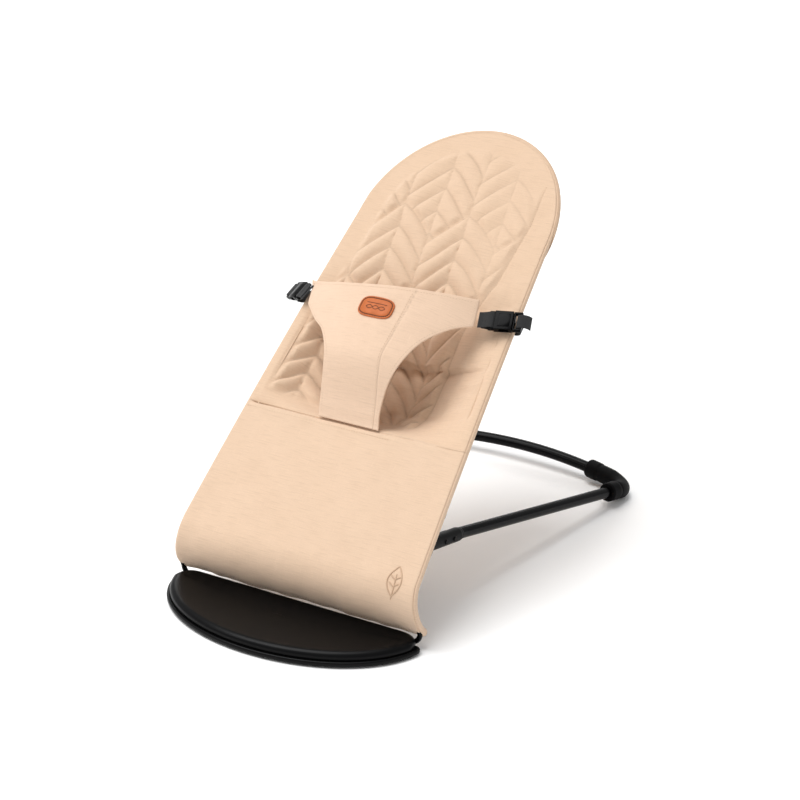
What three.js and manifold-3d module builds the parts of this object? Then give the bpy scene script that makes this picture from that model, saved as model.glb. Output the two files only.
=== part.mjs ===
// Bouncer seat: a fabric seat on one sprung rod, a hinged front plate, a folding tube base with a prop
// and rack, and a three-point harness flap with two side-release buckles.
// Millimetres, +Z up, +X to the right when looking from the front plate to the head, +Y to the head.
// The origin is on the floor, in the middle of the object's length and width.
import * as THREE from 'three';
import { mergeVertices, mergeGeometries } from 'three/addons/utils/BufferGeometryUtils.js';
import Module from 'manifold-3d';

const wasm = await Module();
wasm.setup();

// ---- driving dimensions ----
const GAP = 0.3;                        // between pieces that touch
const SLOPE = THREE.MathUtils.degToRad(42.5);
const RAIL_BOW = 0.14e-3;               // the rails lean back a little towards the head, radians per mm
const ROD_R = 3.5;                      // seat frame rod
const BEND_R = 48;                      // C-shaped spring bend at the seat's front
const BEND_Y = 34.2;
const BEND_Z = 59.7;
const BAR_Y = -3;                       // cross bar of the rod, under the front plate
const BAR_Z = 9;
const BAR_HALF = 187.5;                 // half-length of the cross bar, corners included
const HALF_LOW = 180.5;                 // half-width of the rod loop at the bend
const HALF_HIGH = 146;                  // and at the shoulders
const BEND_FLARE = 7;                   // the bend spreads by this much down to the cross bar
const SHOULDER_S = 502;                 // distances s run up the rails from the end of the bend
const ARCH_RISE = 165;
const HEM_S = -66;                      // lower hem of the cover, on the bend
const CROTCH_S = 182;
const POUCH_TOP_S = 430;
const POUCH_DEPTH = 58;
const CLOTH = 2.4;
const CLAMP_R = 6.6;
const COVER_OVERHANG = 4.5;             // cover beyond the rod's centreline

const PLATE_HALF = 196;
const PLATE_DEPTH = 130;
const PLATE_REAR_Y = 6;
const PLATE_TOP_Z = 20;
const TREAD = 2;

const PIVOT_S = 46;                     // the base hinges under the rails here
const PIVOT_OFF = -9.2;
const SLEEVE_R = 9.6;
const TUBE_R = 8;
const TUBE_WALL = 1.2;
const TUBE_FRONT_X = 159;
const TUBE_REAR_X = 200;
const TUBE_REAR_Y = 554;
const TUBE_REAR_Z = 12.5;
const TUBE_BOW_Y = 28;                  // the rear cross tube bows back and up
const TUBE_BOW_Z = 12;
const CORNER_R = 30;
const CORNER_DIP = 5;                   // the corners dip so that their feet reach the floor
const FOOT_R = 13.3;
const SLEEVE_LENGTH = 101;
const RIVETS = [52, 74];
const RACK_FROM = 30;
const RACK_TO = 88;
const RACK_DROP = 12;
const RACK_THICK = 5;
const NOTCHES = [58.2, 69, 78];         // the prop's foot: upright, middle and low

const PROP_ARM = 50;                    // pivot to prop hinge, and prop hinge to prop foot
const PROP_R = 3;
const PROP_X = 138;
const FOOT_SLEEVE_R = 4.6;

const HINGE_OFF = 9;                    // harness flap above the rails' plane
const FLAP_BULGE = 42;
const FLAP_CLOTH = 3;
const WEB_WIDTH = 20;
const BUCKLE_WIDTH = 29;
const BUCKLE_HEIGHT = 8.5;
const WEB_BAR_X = 14;
const FEMALE_LENGTH = 25;
const PRONG_Y = 9.4;
const BUCKLE_PLACES = {
  left: {
    x: -156, s: 353, off: 17, tilt: -0.61, rise: -0.28, strapS: 362,
    strap: [[188, -18], [180, -18], [170, -14], [160, -9.5], [148, -9.5]],
  },
  right: {
    x: 119.6, s: 365, off: 21, tilt: 0.18, rise: 0.26, strapS: 378,
    strap: [[163, 7.5], [167.5, 3], [167, -4], [160, -8.5], [148, -9.5]],
  },
};

const group = new THREE.Group();
const object = new THREE.Group();
group.add(object);

const FINISH = {
  canvas: { color: 0xf0d4b4, roughness: 0.95 },
  leather: { color: 0xb8663a, roughness: 0.6 },
  webbing: { color: 0x141416, roughness: 0.9 },
  gloss: { color: 0x0c0c0e, roughness: 0.2 },
  plastic: { color: 0x17171a, roughness: 0.5 },
  rubber: { color: 0x121213, roughness: 0.85 },
  paint: { color: 0x0a0a0c, roughness: 0.18, metalness: 0.3 },
  zinc: { color: 0x8e8e92, roughness: 0.4, metalness: 0.9 },
};

function add(name, geometry, finish, parent = object) {
  const mesh = new THREE.Mesh(geometry, new THREE.MeshStandardMaterial(FINISH[finish]));
  mesh.name = name;
  parent.add(mesh);
  return mesh;
}

// ---- joining and cutting ----
function solid(geometry) {
  const plain = geometry.clone();
  plain.deleteAttribute('normal');
  plain.deleteAttribute('uv');
  const merged = mergeVertices(plain, 1e-4);
  const mesh = new wasm.Mesh({
    numProp: 3,
    vertProperties: new Float32Array(merged.attributes.position.array),
    triVerts: new Uint32Array(merged.index.array),
  });
  return new wasm.Manifold(mesh);
}

function geometryOf(manifold) {
  const mesh = manifold.getMesh();
  const geometry = new THREE.BufferGeometry();
  geometry.setAttribute('position', new THREE.BufferAttribute(mesh.vertProperties, 3));
  geometry.setIndex(new THREE.BufferAttribute(mesh.triVerts, 1));
  return geometry;
}

function join(base, ...others) {
  return geometryOf(others.reduce((sum, other) => sum.add(solid(other)), solid(base)));
}

function cut(base, ...tools) {
  return geometryOf(tools.reduce((rest, tool) => rest.subtract(solid(tool)), solid(base)));
}

// ---- basic shapes ----
class Route extends THREE.Curve {
  constructor(points) {
    super();
    this.points = points;
  }
  getPoint(t, target = new THREE.Vector3()) {
    const place = Math.min(Math.max(t, 0), 1) * (this.points.length - 1);
    const index = Math.min(Math.floor(place + 1e-9), this.points.length - 2);
    return target.lerpVectors(this.points[index], this.points[index + 1], place - index);
  }
  getPointAt(u, target) {
    return this.getPoint(u, target);
  }
  getTangentAt(u, target = new THREE.Vector3()) {
    const last = this.points.length - 1;
    const index = Math.round(u * last);
    const before = this.points[Math.max(index - 1, 0)];
    const after = this.points[Math.min(index + 1, last)];
    return target.subVectors(after, before).normalize();
  }
}

function tube(points, radius, sides = 10) {
  const section = new THREE.Shape();
  for (let i = 0; i < sides; i += 1) {
    const angle = (2 * Math.PI * i) / sides;
    const [x, y] = [radius * Math.cos(angle), radius * Math.sin(angle)];
    if (i === 0) section.moveTo(x, y);
    else section.lineTo(x, y);
  }
  section.closePath();
  return new THREE.ExtrudeGeometry(section, { steps: points.length - 1, extrudePath: new Route(points) });
}

function rodX(radius, length, x, y, z, sides = 16) {
  return new THREE.CylinderGeometry(radius, radius, length, sides).rotateZ(Math.PI / 2).translate(x, y, z);
}

function rodY(radius, length, x, y, z, sides = 20) {
  return new THREE.CylinderGeometry(radius, radius, length, sides).translate(x, y, z);
}

function block(width, depth, height, x, y, z) {
  return new THREE.BoxGeometry(width, depth, height).translate(x, y, z);
}

function roundedPlate(width, depth, height, corner, z) {
  const shape = new THREE.Shape();
  const [w, d] = [width / 2, depth / 2];
  shape.moveTo(-w + corner, -d);
  shape.lineTo(w - corner, -d);
  shape.absarc(w - corner, -d + corner, corner, -Math.PI / 2, 0);
  shape.lineTo(w, d - corner);
  shape.absarc(w - corner, d - corner, corner, 0, Math.PI / 2);
  shape.lineTo(-w + corner, d);
  shape.absarc(-w + corner, d - corner, corner, Math.PI / 2, Math.PI);
  shape.lineTo(-w, -d + corner);
  shape.absarc(-w + corner, -d + corner, corner, Math.PI, 1.5 * Math.PI);
  const options = { depth: height, bevelEnabled: false, curveSegments: 4 };
  return new THREE.ExtrudeGeometry(shape, options).translate(0, 0, z);
}

// A closed skin of even thickness over a grid of points, for cloth and webbing.
function sheet(columns, rows, inner, outer) {
  const positions = [];
  const index = [];
  const stride = columns + 1;
  const layer = stride * (rows + 1);
  for (const face of [inner, outer]) {
    for (let j = 0; j <= rows; j += 1) {
      for (let i = 0; i <= columns; i += 1) positions.push(...face(i / columns, j / rows).toArray());
    }
  }
  const quad = (a, b, c, d) => index.push(a, b, c, a, c, d);
  for (let j = 0; j < rows; j += 1) {
    for (let i = 0; i < columns; i += 1) {
      const a = j * stride + i;
      quad(a, a + stride, a + stride + 1, a + 1);
      quad(a + layer, a + 1 + layer, a + stride + 1 + layer, a + stride + layer);
    }
  }
  for (let i = 0; i < columns; i += 1) {
    const top = rows * stride + i;
    quad(i, i + 1, i + 1 + layer, i + layer);
    quad(top, top + layer, top + 1 + layer, top + 1);
  }
  for (let j = 0; j < rows; j += 1) {
    const left = j * stride;
    const right = left + columns;
    quad(left, left + layer, left + stride + layer, left + stride);
    quad(right, right + stride, right + stride + layer, right + layer);
  }
  const geometry = new THREE.BufferGeometry();
  geometry.setAttribute('position', new THREE.Float32BufferAttribute(positions, 3));
  geometry.setIndex(index);
  return geometry;
}

// ---- the seat's own surface: x across, s up the rails, off outwards from the rod's centreline ----
const RAIL_START_Y = BEND_Y - BEND_R * Math.sin(SLOPE);
const RAIL_START_Z = BEND_Z + BEND_R * Math.cos(SLOPE);

function seat(x, s, off = 0) {
  if (s < 0) {
    const angle = Math.PI / 2 + SLOPE - s / BEND_R;
    const reach = BEND_R + off;
    return new THREE.Vector3(x, BEND_Y + reach * Math.cos(angle), BEND_Z + reach * Math.sin(angle));
  }
  const lean = SLOPE - RAIL_BOW * s;
  const y = RAIL_START_Y + (Math.sin(SLOPE) - Math.sin(lean)) / RAIL_BOW;
  const z = RAIL_START_Z + (Math.cos(lean) - Math.cos(SLOPE)) / RAIL_BOW;
  return new THREE.Vector3(x, y - off * Math.sin(lean), z + off * Math.cos(lean));
}

function halfWidth(s) {
  if (s <= 0) return HALF_LOW + BEND_FLARE * THREE.MathUtils.smoothstep(-s, 0, 70);
  if (s <= SHOULDER_S) return HALF_LOW + ((HALF_HIGH - HALF_LOW) * s) / SHOULDER_S;
  const rise = Math.min((s - SHOULDER_S) / ARCH_RISE, 1);
  return HALF_HIGH * Math.sqrt(1 - rise * rise);
}

// A frame on the seat's surface: x across, y up the rails, z outwards.
function onSeat(x, s, off, twist = 0) {
  const holder = new THREE.Group();
  holder.position.copy(seat(x, s, off));
  holder.rotation.order = 'XYZ';
  holder.rotation.x = SLOPE - RAIL_BOW * Math.max(s, 0);
  holder.rotation.y = twist;
  object.add(holder);
  return holder;
}

// ---- seat frame ----
function rodRoute() {
  const side = [];
  const corner = 14;
  const steps = 6;
  side.push(new THREE.Vector3(GAP, BAR_Y, BAR_Z));
  for (let i = 0; i <= steps; i += 1) {
    const angle = (Math.PI / 2) * (i / steps);
    const x = BAR_HALF - corner + corner * Math.sin(angle);
    side.push(new THREE.Vector3(x, BAR_Y, BAR_Z + corner * (1 - Math.cos(angle))));
  }
  for (let s = -60; s < 0; s += 8) side.push(seat(halfWidth(s), s));
  for (let s = 0; s < SHOULDER_S; s += SHOULDER_S / 8) side.push(seat(halfWidth(s), s));
  const arch = 18;
  for (let i = 0; i < arch; i += 1) {
    const angle = (Math.PI / 2) * (i / arch);
    side.push(seat(HALF_HIGH * Math.cos(angle), SHOULDER_S + ARCH_RISE * Math.sin(angle)));
  }
  const top = seat(0, SHOULDER_S + ARCH_RISE);
  const mirrored = side.map((p) => new THREE.Vector3(-p.x, p.y, p.z)).reverse();
  return [...side, top, ...mirrored];
}

function seatFrameRod() {
  add('seat_frame_rod', tube(rodRoute(), ROD_R, 10), 'paint');
}

function pivotBracket(side, name) {
  const holder = onSeat(side * halfWidth(PIVOT_S), PIVOT_S, 0);
  const clampLength = 22;
  const pinReach = halfWidth(PIVOT_S) - TUBE_FRONT_X + SLEEVE_R + 1.5;
  const body = join(
    rodY(CLAMP_R, clampLength, 0, 0, 0),
    block(6, 14, -PIVOT_OFF + 4, 0, 0, PIVOT_OFF / 2),
    rodX(4, pinReach, (-side * pinReach) / 2, 0, PIVOT_OFF),
  );
  const taper = Math.atan((HALF_LOW - HALF_HIGH) / SHOULDER_S) * side;
  const bore = rodY(ROD_R + GAP, clampLength + 4, 0, 0, 0).rotateZ(taper);
  add(name, cut(body, bore, aboveClamp()), 'plastic', holder);
}

// The clamps are open along the top, where the cover lies on the rod.
function aboveClamp() {
  return block(30, 60, 10, 0, 0, 9.2);
}

function propClip(side, name) {
  const s = PIVOT_S + PROP_ARM;
  const holder = onSeat(side * halfWidth(s), s, 0);
  const clampLength = 14;
  const reach = halfWidth(s) - PROP_X - 12;
  const body = join(
    rodY(CLAMP_R, clampLength, 0, 0, 0),
    block(6, 10, -PIVOT_OFF + 4, 0, 0, PIVOT_OFF / 2),
    rodX(5.6, reach, (-side * reach) / 2, 0, PIVOT_OFF),
  );
  const taper = Math.atan((HALF_LOW - HALF_HIGH) / SHOULDER_S) * side;
  const bore = rodY(ROD_R + GAP, clampLength + 4, 0, 0, 0).rotateZ(taper);
  const socketDepth = 12;
  const socket = rodX(PROP_R + GAP, socketDepth, -side * (reach - socketDepth / 2 + 0.01), 0, PIVOT_OFF);
  add(name, cut(body, bore, socket, aboveClamp()), 'plastic', holder);
}

// ---- cover ----
function coverStrip(name, from, to, rows, columns, shape) {
  const at = (lift) => (u, v) => {
    const s = from + (to - from) * v;
    const x = (2 * u - 1) * (halfWidth(s) + COVER_OVERHANG);
    return seat(x, s, shape(x, s) + lift);
  };
  add(name, sheet(columns, rows, at(0), at(CLOTH)), 'canvas');
}

function aboveRod() {
  return ROD_R + 1;
}

function pouchDepth(x, s) {
  const length = (s - CROTCH_S) / (POUCH_TOP_S - CROTCH_S);
  const along = Math.sin(Math.PI * Math.pow(length, 0.72));
  const across = Math.min(Math.abs(x) / (halfWidth(s) - 22), 1);
  return aboveRod() - POUCH_DEPTH * along * along * (1 - across * across) ** 1.5;
}

function cover() {
  coverStrip('leg_panel', HEM_S, CROTCH_S - GAP, 16, 6, aboveRod);
  coverStrip('seat_pouch', CROTCH_S + GAP, POUCH_TOP_S - GAP, 12, 14, pouchDepth);
  coverStrip('back_rest', POUCH_TOP_S + GAP, SHOULDER_S + ARCH_RISE - 8, 10, 8, aboveRod);
  rearPanel();
}

// The panel behind the head and shoulders, on the far side of the rod.
function rearPanel() {
  const [from, to] = [POUCH_TOP_S + 40, SHOULDER_S + ARCH_RISE - 10];
  const at = (lift) => (u, v) => {
    const s = from + (to - from) * v;
    return seat((2 * u - 1) * (halfWidth(s) + COVER_OVERHANG), s, lift);
  };
  add('rear_panel', sheet(6, 10, at(-ROD_R - 1 - CLOTH), at(-ROD_R - 1)), 'canvas');
}

// ---- front plate ----
function plateOutline(inset) {
  const shape = new THREE.Shape();
  const [a, b] = [PLATE_HALF - inset, PLATE_DEPTH - inset];
  const start = 0.17;
  const rear = PLATE_REAR_Y - inset * 0.5;
  const corner = 26;
  const [x0, y0] = [a * Math.cos(start), -b * Math.sin(start)];
  shape.moveTo(-(a - corner), rear);
  shape.quadraticCurveTo(-a - 1, rear, -x0, y0);
  const steps = 28;
  for (let i = 1; i <= steps; i += 1) {
    const angle = Math.PI - start - ((Math.PI - 2 * start) * i) / steps;
    shape.lineTo(a * Math.cos(angle), -b * Math.sin(angle));
  }
  shape.quadraticCurveTo(a + 1, rear, a - corner, rear);
  shape.closePath();
  return shape;
}

function slab(shape, z, height) {
  const options = { depth: height, bevelEnabled: false, curveSegments: 6 };
  return new THREE.ExtrudeGeometry(shape, options).translate(0, 0, z);
}

const CLAMP_X = [-110, 0, 110];
const CLAMP_SIZE = [30, 26, 3];
const SCREW_SPREAD = 9;

function frontPlate() {
  const flange = slab(plateOutline(0), TREAD, 8);
  const waist = slab(plateOutline(5), TREAD + 7.9, 2.2);
  const crown = slab(plateOutline(2), TREAD + 10, 4.1);
  const top = slab(plateOutline(7), TREAD + 14, PLATE_TOP_Z - TREAD - 14);
  const channel = block(2 * BAR_HALF + 60, ROD_R * 2 + 1, 12, 0, BAR_Y, BAR_Z - 2);
  const notches = [-1, 1].map((side) => block(32, 24, 60, side * (BAR_HALF + 1), BAR_Y + 7, 0));
  const pockets = CLAMP_X.map((x) => block(CLAMP_SIZE[0] + 1, CLAMP_SIZE[1] + 1, 6.5, x, BAR_Y - 8, 1.5));
  const bores = CLAMP_X.flatMap((x) => screwPlaces(x).map(([sx, sy]) => (
    new THREE.CylinderGeometry(1.8, 1.8, 12, 10).rotateX(Math.PI / 2).translate(sx, sy, 7)
  )));
  const shell = join(flange, waist, crown, top);
  add('plate_top', cut(shell, channel, ...notches, ...pockets, ...bores), 'plastic');
  const pads = cut(slab(plateOutline(4), 0, TREAD - GAP), block(500, 60, 10, 0, BAR_Y + 8, 0));
  add('plate_tread', pads, 'rubber');
  CLAMP_X.forEach((x, i) => rodClamp(x, ['left', 'centre', 'right'][i]));
}

function screwPlaces(x) {
  return [-SCREW_SPREAD, SCREW_SPREAD].map((dx) => [x + dx, BAR_Y - 14]);
}

let screwCount = 0;

function rodClamp(x, name) {
  const [width, depth, height] = CLAMP_SIZE;
  const base = block(width, depth, height, x, BAR_Y - 8, TREAD - GAP - 0.1 + height / 2);
  const holes = screwPlaces(x).map(([sx, sy]) => (
    new THREE.CylinderGeometry(1.8, 1.8, 10, 10).rotateX(Math.PI / 2).translate(sx, sy, 3)
  ));
  add(`rod_clamp_${name}`, cut(base, ...holes), 'plastic');
  screwPlaces(x).forEach(([sx, sy]) => {
    screwCount += 1;
    add(`plate_screw_${screwCount}`, screw(1.5, 3, 10).translate(sx, sy, -0.6), 'zinc');
  });
}

// A pan-head screw standing on its head, shank up.
function screw(radius, headR, length) {
  const profile = [[0, 0.8], [headR, 0.8], [headR, 2], [radius, 2], [radius, length], [0, length]];
  const points = profile.map(([r, z]) => new THREE.Vector2(r, z));
  return new THREE.LatheGeometry(points, 10).rotateX(Math.PI / 2);
}

// ---- base ----
const PIVOT = seat(0, PIVOT_S, PIVOT_OFF);
const PROP_HINGE = seat(0, PIVOT_S + PROP_ARM, PIVOT_OFF);
const BASE_DROP = Math.atan2(PIVOT.z - TUBE_REAR_Z, TUBE_REAR_Y - PIVOT.y);
const BASE_LENGTH = Math.hypot(PIVOT.z - TUBE_REAR_Z, TUBE_REAR_Y - PIVOT.y);
const TUBE_START = 24;

// A point at a distance along the base's side tube, counted from the pivot, lifted square to it.
function alongBase(x, distance, lift = 0) {
  const y = PIVOT.y + distance * Math.cos(BASE_DROP) + lift * Math.sin(BASE_DROP);
  const z = PIVOT.z - distance * Math.sin(BASE_DROP) + lift * Math.cos(BASE_DROP);
  return new THREE.Vector3(x, y, z);
}

// The side tubes run straight in their sleeves and then spread towards the rear.
function sideX(distance) {
  const spread = (distance - SLEEVE_LENGTH - 6) / (BASE_LENGTH - SLEEVE_LENGTH - 6);
  return TUBE_FRONT_X + (TUBE_REAR_X - TUBE_FRONT_X) * Math.max(spread, 0);
}

// The rear cross tube at a fraction of its half-width: 0 in the middle, 1 at the corner.
function crossTube(fraction) {
  const bow = 1 - fraction * fraction;
  const y = TUBE_REAR_Y + TUBE_BOW_Y * bow;
  return new THREE.Vector3(TUBE_REAR_X * fraction, y, TUBE_REAR_Z + TUBE_BOW_Z * bow);
}

const BEND_START = BASE_LENGTH - CORNER_R;
const BEND_END = 1 - CORNER_R / TUBE_REAR_X;

function rearCorner() {
  const steps = 8;
  const start = alongBase(sideX(BEND_START), BEND_START);
  const corner = new THREE.Vector3(TUBE_REAR_X, TUBE_REAR_Y, TUBE_REAR_Z - CORNER_DIP);
  const bend = new THREE.QuadraticBezierCurve3(start, corner, crossTube(BEND_END));
  return Array.from({ length: steps + 1 }, (_, i) => bend.getPoint(i / steps));
}

function baseTube() {
  const side = [TUBE_START, SLEEVE_LENGTH + 4, SLEEVE_LENGTH + 20].map((d) => alongBase(sideX(d), d));
  side.push(...rearCorner());
  for (let i = 1; i <= 8; i += 1) side.push(crossTube(BEND_END * (1 - i / 8)));
  const mirrored = side.slice(0, -1).map((p) => new THREE.Vector3(-p.x, p.y, p.z)).reverse();
  const route = [...side, ...mirrored];
  const holes = [-1, 1].flatMap((sign) => RIVETS.map((distance) => rivetHole(sign, distance)));
  const bore = tube(longer(route, 4), TUBE_R - TUBE_WALL, 10);
  add('base_tube', cut(tube(route, TUBE_R, 12), bore, ...holes), 'paint');
}

function rivetHole(side, distance) {
  const place = alongBase(side * TUBE_FRONT_X, distance);
  return rodX(2 + GAP, 50, place.x, place.y, place.z, 10);
}

// The same route, running on past both ends.
function longer(route, extra) {
  const past = (end, before) => end.clone().addScaledVector(end.clone().sub(before).normalize(), extra);
  return [past(route[0], route[1]), ...route, past(route.at(-1), route.at(-2))];
}

function rearFoot(side, name) {
  const route = [alongBase(sideX(BEND_START - 22), BEND_START - 22), ...rearCorner()];
  for (const fraction of [0.77, 0.7, 0.6]) route.push(crossTube(fraction));
  const placed = route.map((p) => new THREE.Vector3(side * p.x, p.y, p.z));
  const underside = block(500, 500, 20, side * TUBE_REAR_X, TUBE_REAR_Y, -10);
  const grip = cut(tube(placed, FOOT_R, 16), tube(longer(placed, 8), TUBE_R + GAP, 12), underside);
  add(name, grip, 'rubber');
}

function sleeve(side, name) {
  const x = side * TUBE_FRONT_X;
  const body = tube([alongBase(x, 0), alongBase(x, SLEEVE_LENGTH)], SLEEVE_R, 14);
  const eye = rodX(SLEEVE_R + 1.4, 2 * SLEEVE_R - 0.4, x, PIVOT.y, PIVOT.z, 18);
  const pin = rodX(4 + GAP, 60, x, PIVOT.y, PIVOT.z, 16);
  const socket = tube([alongBase(x, TUBE_START - GAP), alongBase(x, SLEEVE_LENGTH + 9)], TUBE_R + GAP, 14);
  const holes = RIVETS.map((distance) => rivetHole(side, distance));
  add(name, cut(join(body, eye), pin, socket, ...holes), 'plastic');
}

// A frame that lies along the base's side tubes: y along them from the pivot, z square to them.
function onBase() {
  const holder = new THREE.Group();
  holder.position.copy(PIVOT);
  holder.rotation.x = -BASE_DROP;
  object.add(holder);
  return holder;
}

// An outline drawn in (y, z), extruded across the seat.
function across(shape, width, x) {
  const turn = new THREE.Matrix4().makeBasis(
    new THREE.Vector3(0, 1, 0),
    new THREE.Vector3(0, 0, 1),
    new THREE.Vector3(1, 0, 0),
  );
  const options = { depth: width, bevelEnabled: false };
  return new THREE.ExtrudeGeometry(shape, options).applyMatrix4(turn).translate(x - width / 2, 0, 0);
}

function polygon(points) {
  const shape = new THREE.Shape();
  points.forEach(([x, y], i) => (i === 0 ? shape.moveTo(x, y) : shape.lineTo(x, y)));
  shape.closePath();
  return shape;
}

// The rack lies between the sleeves, under the line that the prop's foot runs along.
function rack() {
  const holder = onBase();
  const half = TUBE_FRONT_X - SLEEVE_R - GAP;
  const floorZ = -RACK_DROP - RACK_THICK / 2;
  const length = RACK_TO - RACK_FROM;
  const parts = [block(2 * half, length, RACK_THICK, 0, RACK_FROM + length / 2, floorZ)];
  for (const side of [-1, 1]) {
    const cheekHeight = RACK_DROP + 5;
    parts.push(block(3, length, cheekHeight, side * (half - 1.5), RACK_FROM + length / 2, 4 - cheekHeight / 2));
  }
  for (const notch of NOTCHES) {
    const crest = -FOOT_SLEEVE_R - 1;
    const tooth = [[3, floorZ], [7.5, floorZ], [7.5, crest], [5.5, crest]].map(([y, z]) => [notch + y, z]);
    for (const x of [-96, -32, 32, 96]) parts.push(across(polygon(tooth), 24, x));
  }
  const holes = [-1, 1].flatMap((side) => RIVETS.map((d) => rodX(2 + GAP, 50, side * half, d, 0, 10)));
  add('prop_rack', cut(join(...parts), ...holes), 'plastic', holder);
}

// Each rivet holds a sleeve, the tube in it and the rack's cheek together.
function rivets() {
  const holder = onBase();
  const inner = TUBE_FRONT_X - SLEEVE_R - 3 - 2 * GAP;
  const outer = TUBE_FRONT_X + SLEEVE_R + GAP;
  const profile = [[0, -1.2], [3, -1.2], [3.6, 0], [2, 0], [2, outer - inner], [3.6, outer - inner]];
  profile.push([3, outer - inner + 1.2], [0, outer - inner + 1.2]);
  const points = profile.map(([r, z]) => new THREE.Vector2(r, z));
  let count = 0;
  for (const side of [-1, 1]) {
    for (const distance of RIVETS) {
      count += 1;
      const rivet = new THREE.LatheGeometry(points, 10).rotateZ((-side * Math.PI) / 2);
      add(`rack_rivet_${count}`, rivet.translate(side * inner, distance, 0), 'zinc', holder);
    }
  }
}

// ---- prop ----
function prop() {
  const foot = alongBase(0, NOTCHES[0]);
  const down = foot.clone().sub(PROP_HINGE).normalize();
  const at = (x, drop) => PROP_HINGE.clone().addScaledVector(down, drop).setX(x);
  const bend = 7;
  const steps = 4;
  const reach = PROP_HINGE.distanceTo(foot);
  const side = [at(PROP_X + 22, 0)];
  for (let i = 0; i <= steps; i += 1) {
    const angle = (Math.PI / 2) * (i / steps);
    side.push(at(PROP_X + bend - bend * Math.sin(angle), bend - bend * Math.cos(angle)));
  }
  for (let i = 0; i <= steps; i += 1) {
    const angle = (Math.PI / 2) * (i / steps);
    side.push(at(PROP_X - bend + bend * Math.cos(angle), reach - bend + bend * Math.sin(angle)));
  }
  const mirrored = side.map((p) => new THREE.Vector3(-p.x, p.y, p.z)).reverse();
  add('prop_wire', tube([...side, ...mirrored], PROP_R, 10), 'paint');
  const length = 2 * (PROP_X - bend - 4);
  const grip = cut(
    rodX(FOOT_SLEEVE_R, length, 0, foot.y, foot.z, 14),
    rodX(PROP_R + GAP, length + 10, 0, foot.y, foot.z, 14),
  );
  add('prop_foot_sleeve', grip, 'plastic');
}

// ---- harness ----
const FLAP_LEFT = [[-50, 184], [-54, 208], [-58, 237], [-72, 262], [-103, 289], [-134, 316], [-149, 338], [-150, 368]];
const FLAP_RIGHT = [[48, 184], [45, 208], [46, 240], [51, 264], [60, 292], [78, 326], [102, 346], [116, 353], [118, 374]];
const FLAP_END_OFF = 15;

function flapOff(x, s) {
  const reach = THREE.MathUtils.smoothstep(s, CROTCH_S, CROTCH_S + 90);
  const half = x < 0 ? 150 : 122;
  const across01 = Math.min(Math.abs(x) / half, 1);
  const rest = HINGE_OFF + (FLAP_END_OFF - HINGE_OFF) * reach;
  return rest + FLAP_BULGE * reach * (1 - across01 * across01);
}

function flap() {
  const edge = (list) => new THREE.SplineCurve(list.map(([x, s]) => new THREE.Vector2(x, s)));
  const [left, right] = [edge(FLAP_LEFT), edge(FLAP_RIGHT)];
  const at = (lift) => (u, v) => {
    const place = left.getPoint(v).lerp(right.getPoint(v), u);
    return seat(place.x, place.y, flapOff(place.x, place.y) + lift);
  };
  add('harness_flap', sheet(14, 14, at(0), at(FLAP_CLOTH)), 'canvas');
}

function leatherTag() {
  const [x, s] = [-13, 334];
  const holder = onSeat(x, s, flapOff(x, s) + FLAP_CLOTH + 2.2);
  add('leather_tag', roundedPlate(56, 30, 1.4, 9, 0), 'leather', holder);
}

// Each side-release buckle lies along the local x axis, from the flap outwards; y is across the webbing.
function buckleFrame(side) {
  const place = BUCKLE_PLACES[side < 0 ? 'left' : 'right'];
  const holder = new THREE.Group();
  holder.position.copy(seat(place.x, place.s, place.off));
  const lean = SLOPE - RAIL_BOW * place.s;
  holder.rotation.set(lean, 0, 0);
  const turned = new THREE.Group();
  turned.rotation.set(0, place.tilt, place.rise, 'ZYX');
  if (side < 0) turned.rotation.set(0, Math.PI + place.tilt, place.rise, 'ZYX');
  holder.add(turned);
  object.add(holder);
  return turned;
}

function buckle(side, name) {
  const frame = buckleFrame(side);
  const [width, height] = [BUCKLE_WIDTH, BUCKLE_HEIGHT];
  const shell = block(FEMALE_LENGTH, width, height, WEB_BAR_X + 3 + FEMALE_LENGTH / 2, 0, 0);
  const mouth = WEB_BAR_X + 3 + FEMALE_LENGTH;
  const cavity = block(22, width - 6, height - 3, mouth - 11 + 0.1, 0, 0);
  const windows = block(11, width + 4, height - 3, mouth - 13, 0, 0);
  const loop = block(7, width, 5, WEB_BAR_X, 0, 0);
  const slot = block(3.2, WEB_WIDTH + 1, 9, WEB_BAR_X + 1.3, 0, 0);
  add(`buckle_socket_${name}`, cut(join(shell, loop), cavity, windows, slot), 'gloss', frame);
  const baseX = mouth + GAP;
  const base = block(12, width, height - 2, baseX + 6, 0, 0);
  const guide = block(15, 5, 3.4, baseX - 7, 0, 0);
  const bars = [3.2, 8.4].map((x) => block(2.4, WEB_WIDTH + 1, 12, baseX + x, 0, 0));
  const seats = [-1, 1].map((edge) => block(3, 4, height - 3.5, baseX + 0.5, edge * PRONG_Y, 0));
  add(`buckle_plug_${name}`, cut(join(base, guide), ...bars, ...seats), 'gloss', frame);
  for (const edge of [-1, 1]) {
    const arm = block(17, 2.2, 3.6, baseX + 1 - 8.5, edge * PRONG_Y, 0);
    const head = block(8, 3, 4.4, baseX - 13.5, edge * (PRONG_Y + 0.4), 0);
    add(`buckle_prong_${name}_${edge < 0 ? 'lower' : 'upper'}`, join(arm, head), 'gloss', frame);
  }
  const webLength = WEB_BAR_X - 4.8;
  const webbing = block(webLength, WEB_WIDTH, 1.6, 1 + webLength / 2, 0, 0);
  add(`flap_webbing_${name}`, webbing, 'webbing', frame);
  const tail = block(20, WEB_WIDTH, 1.6, 10.8, 0, 0).rotateY(0.25).translate(baseX + 12 + GAP, 0, 1.5);
  add(`strap_tail_${name}`, tail, 'webbing', frame);
}

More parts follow.
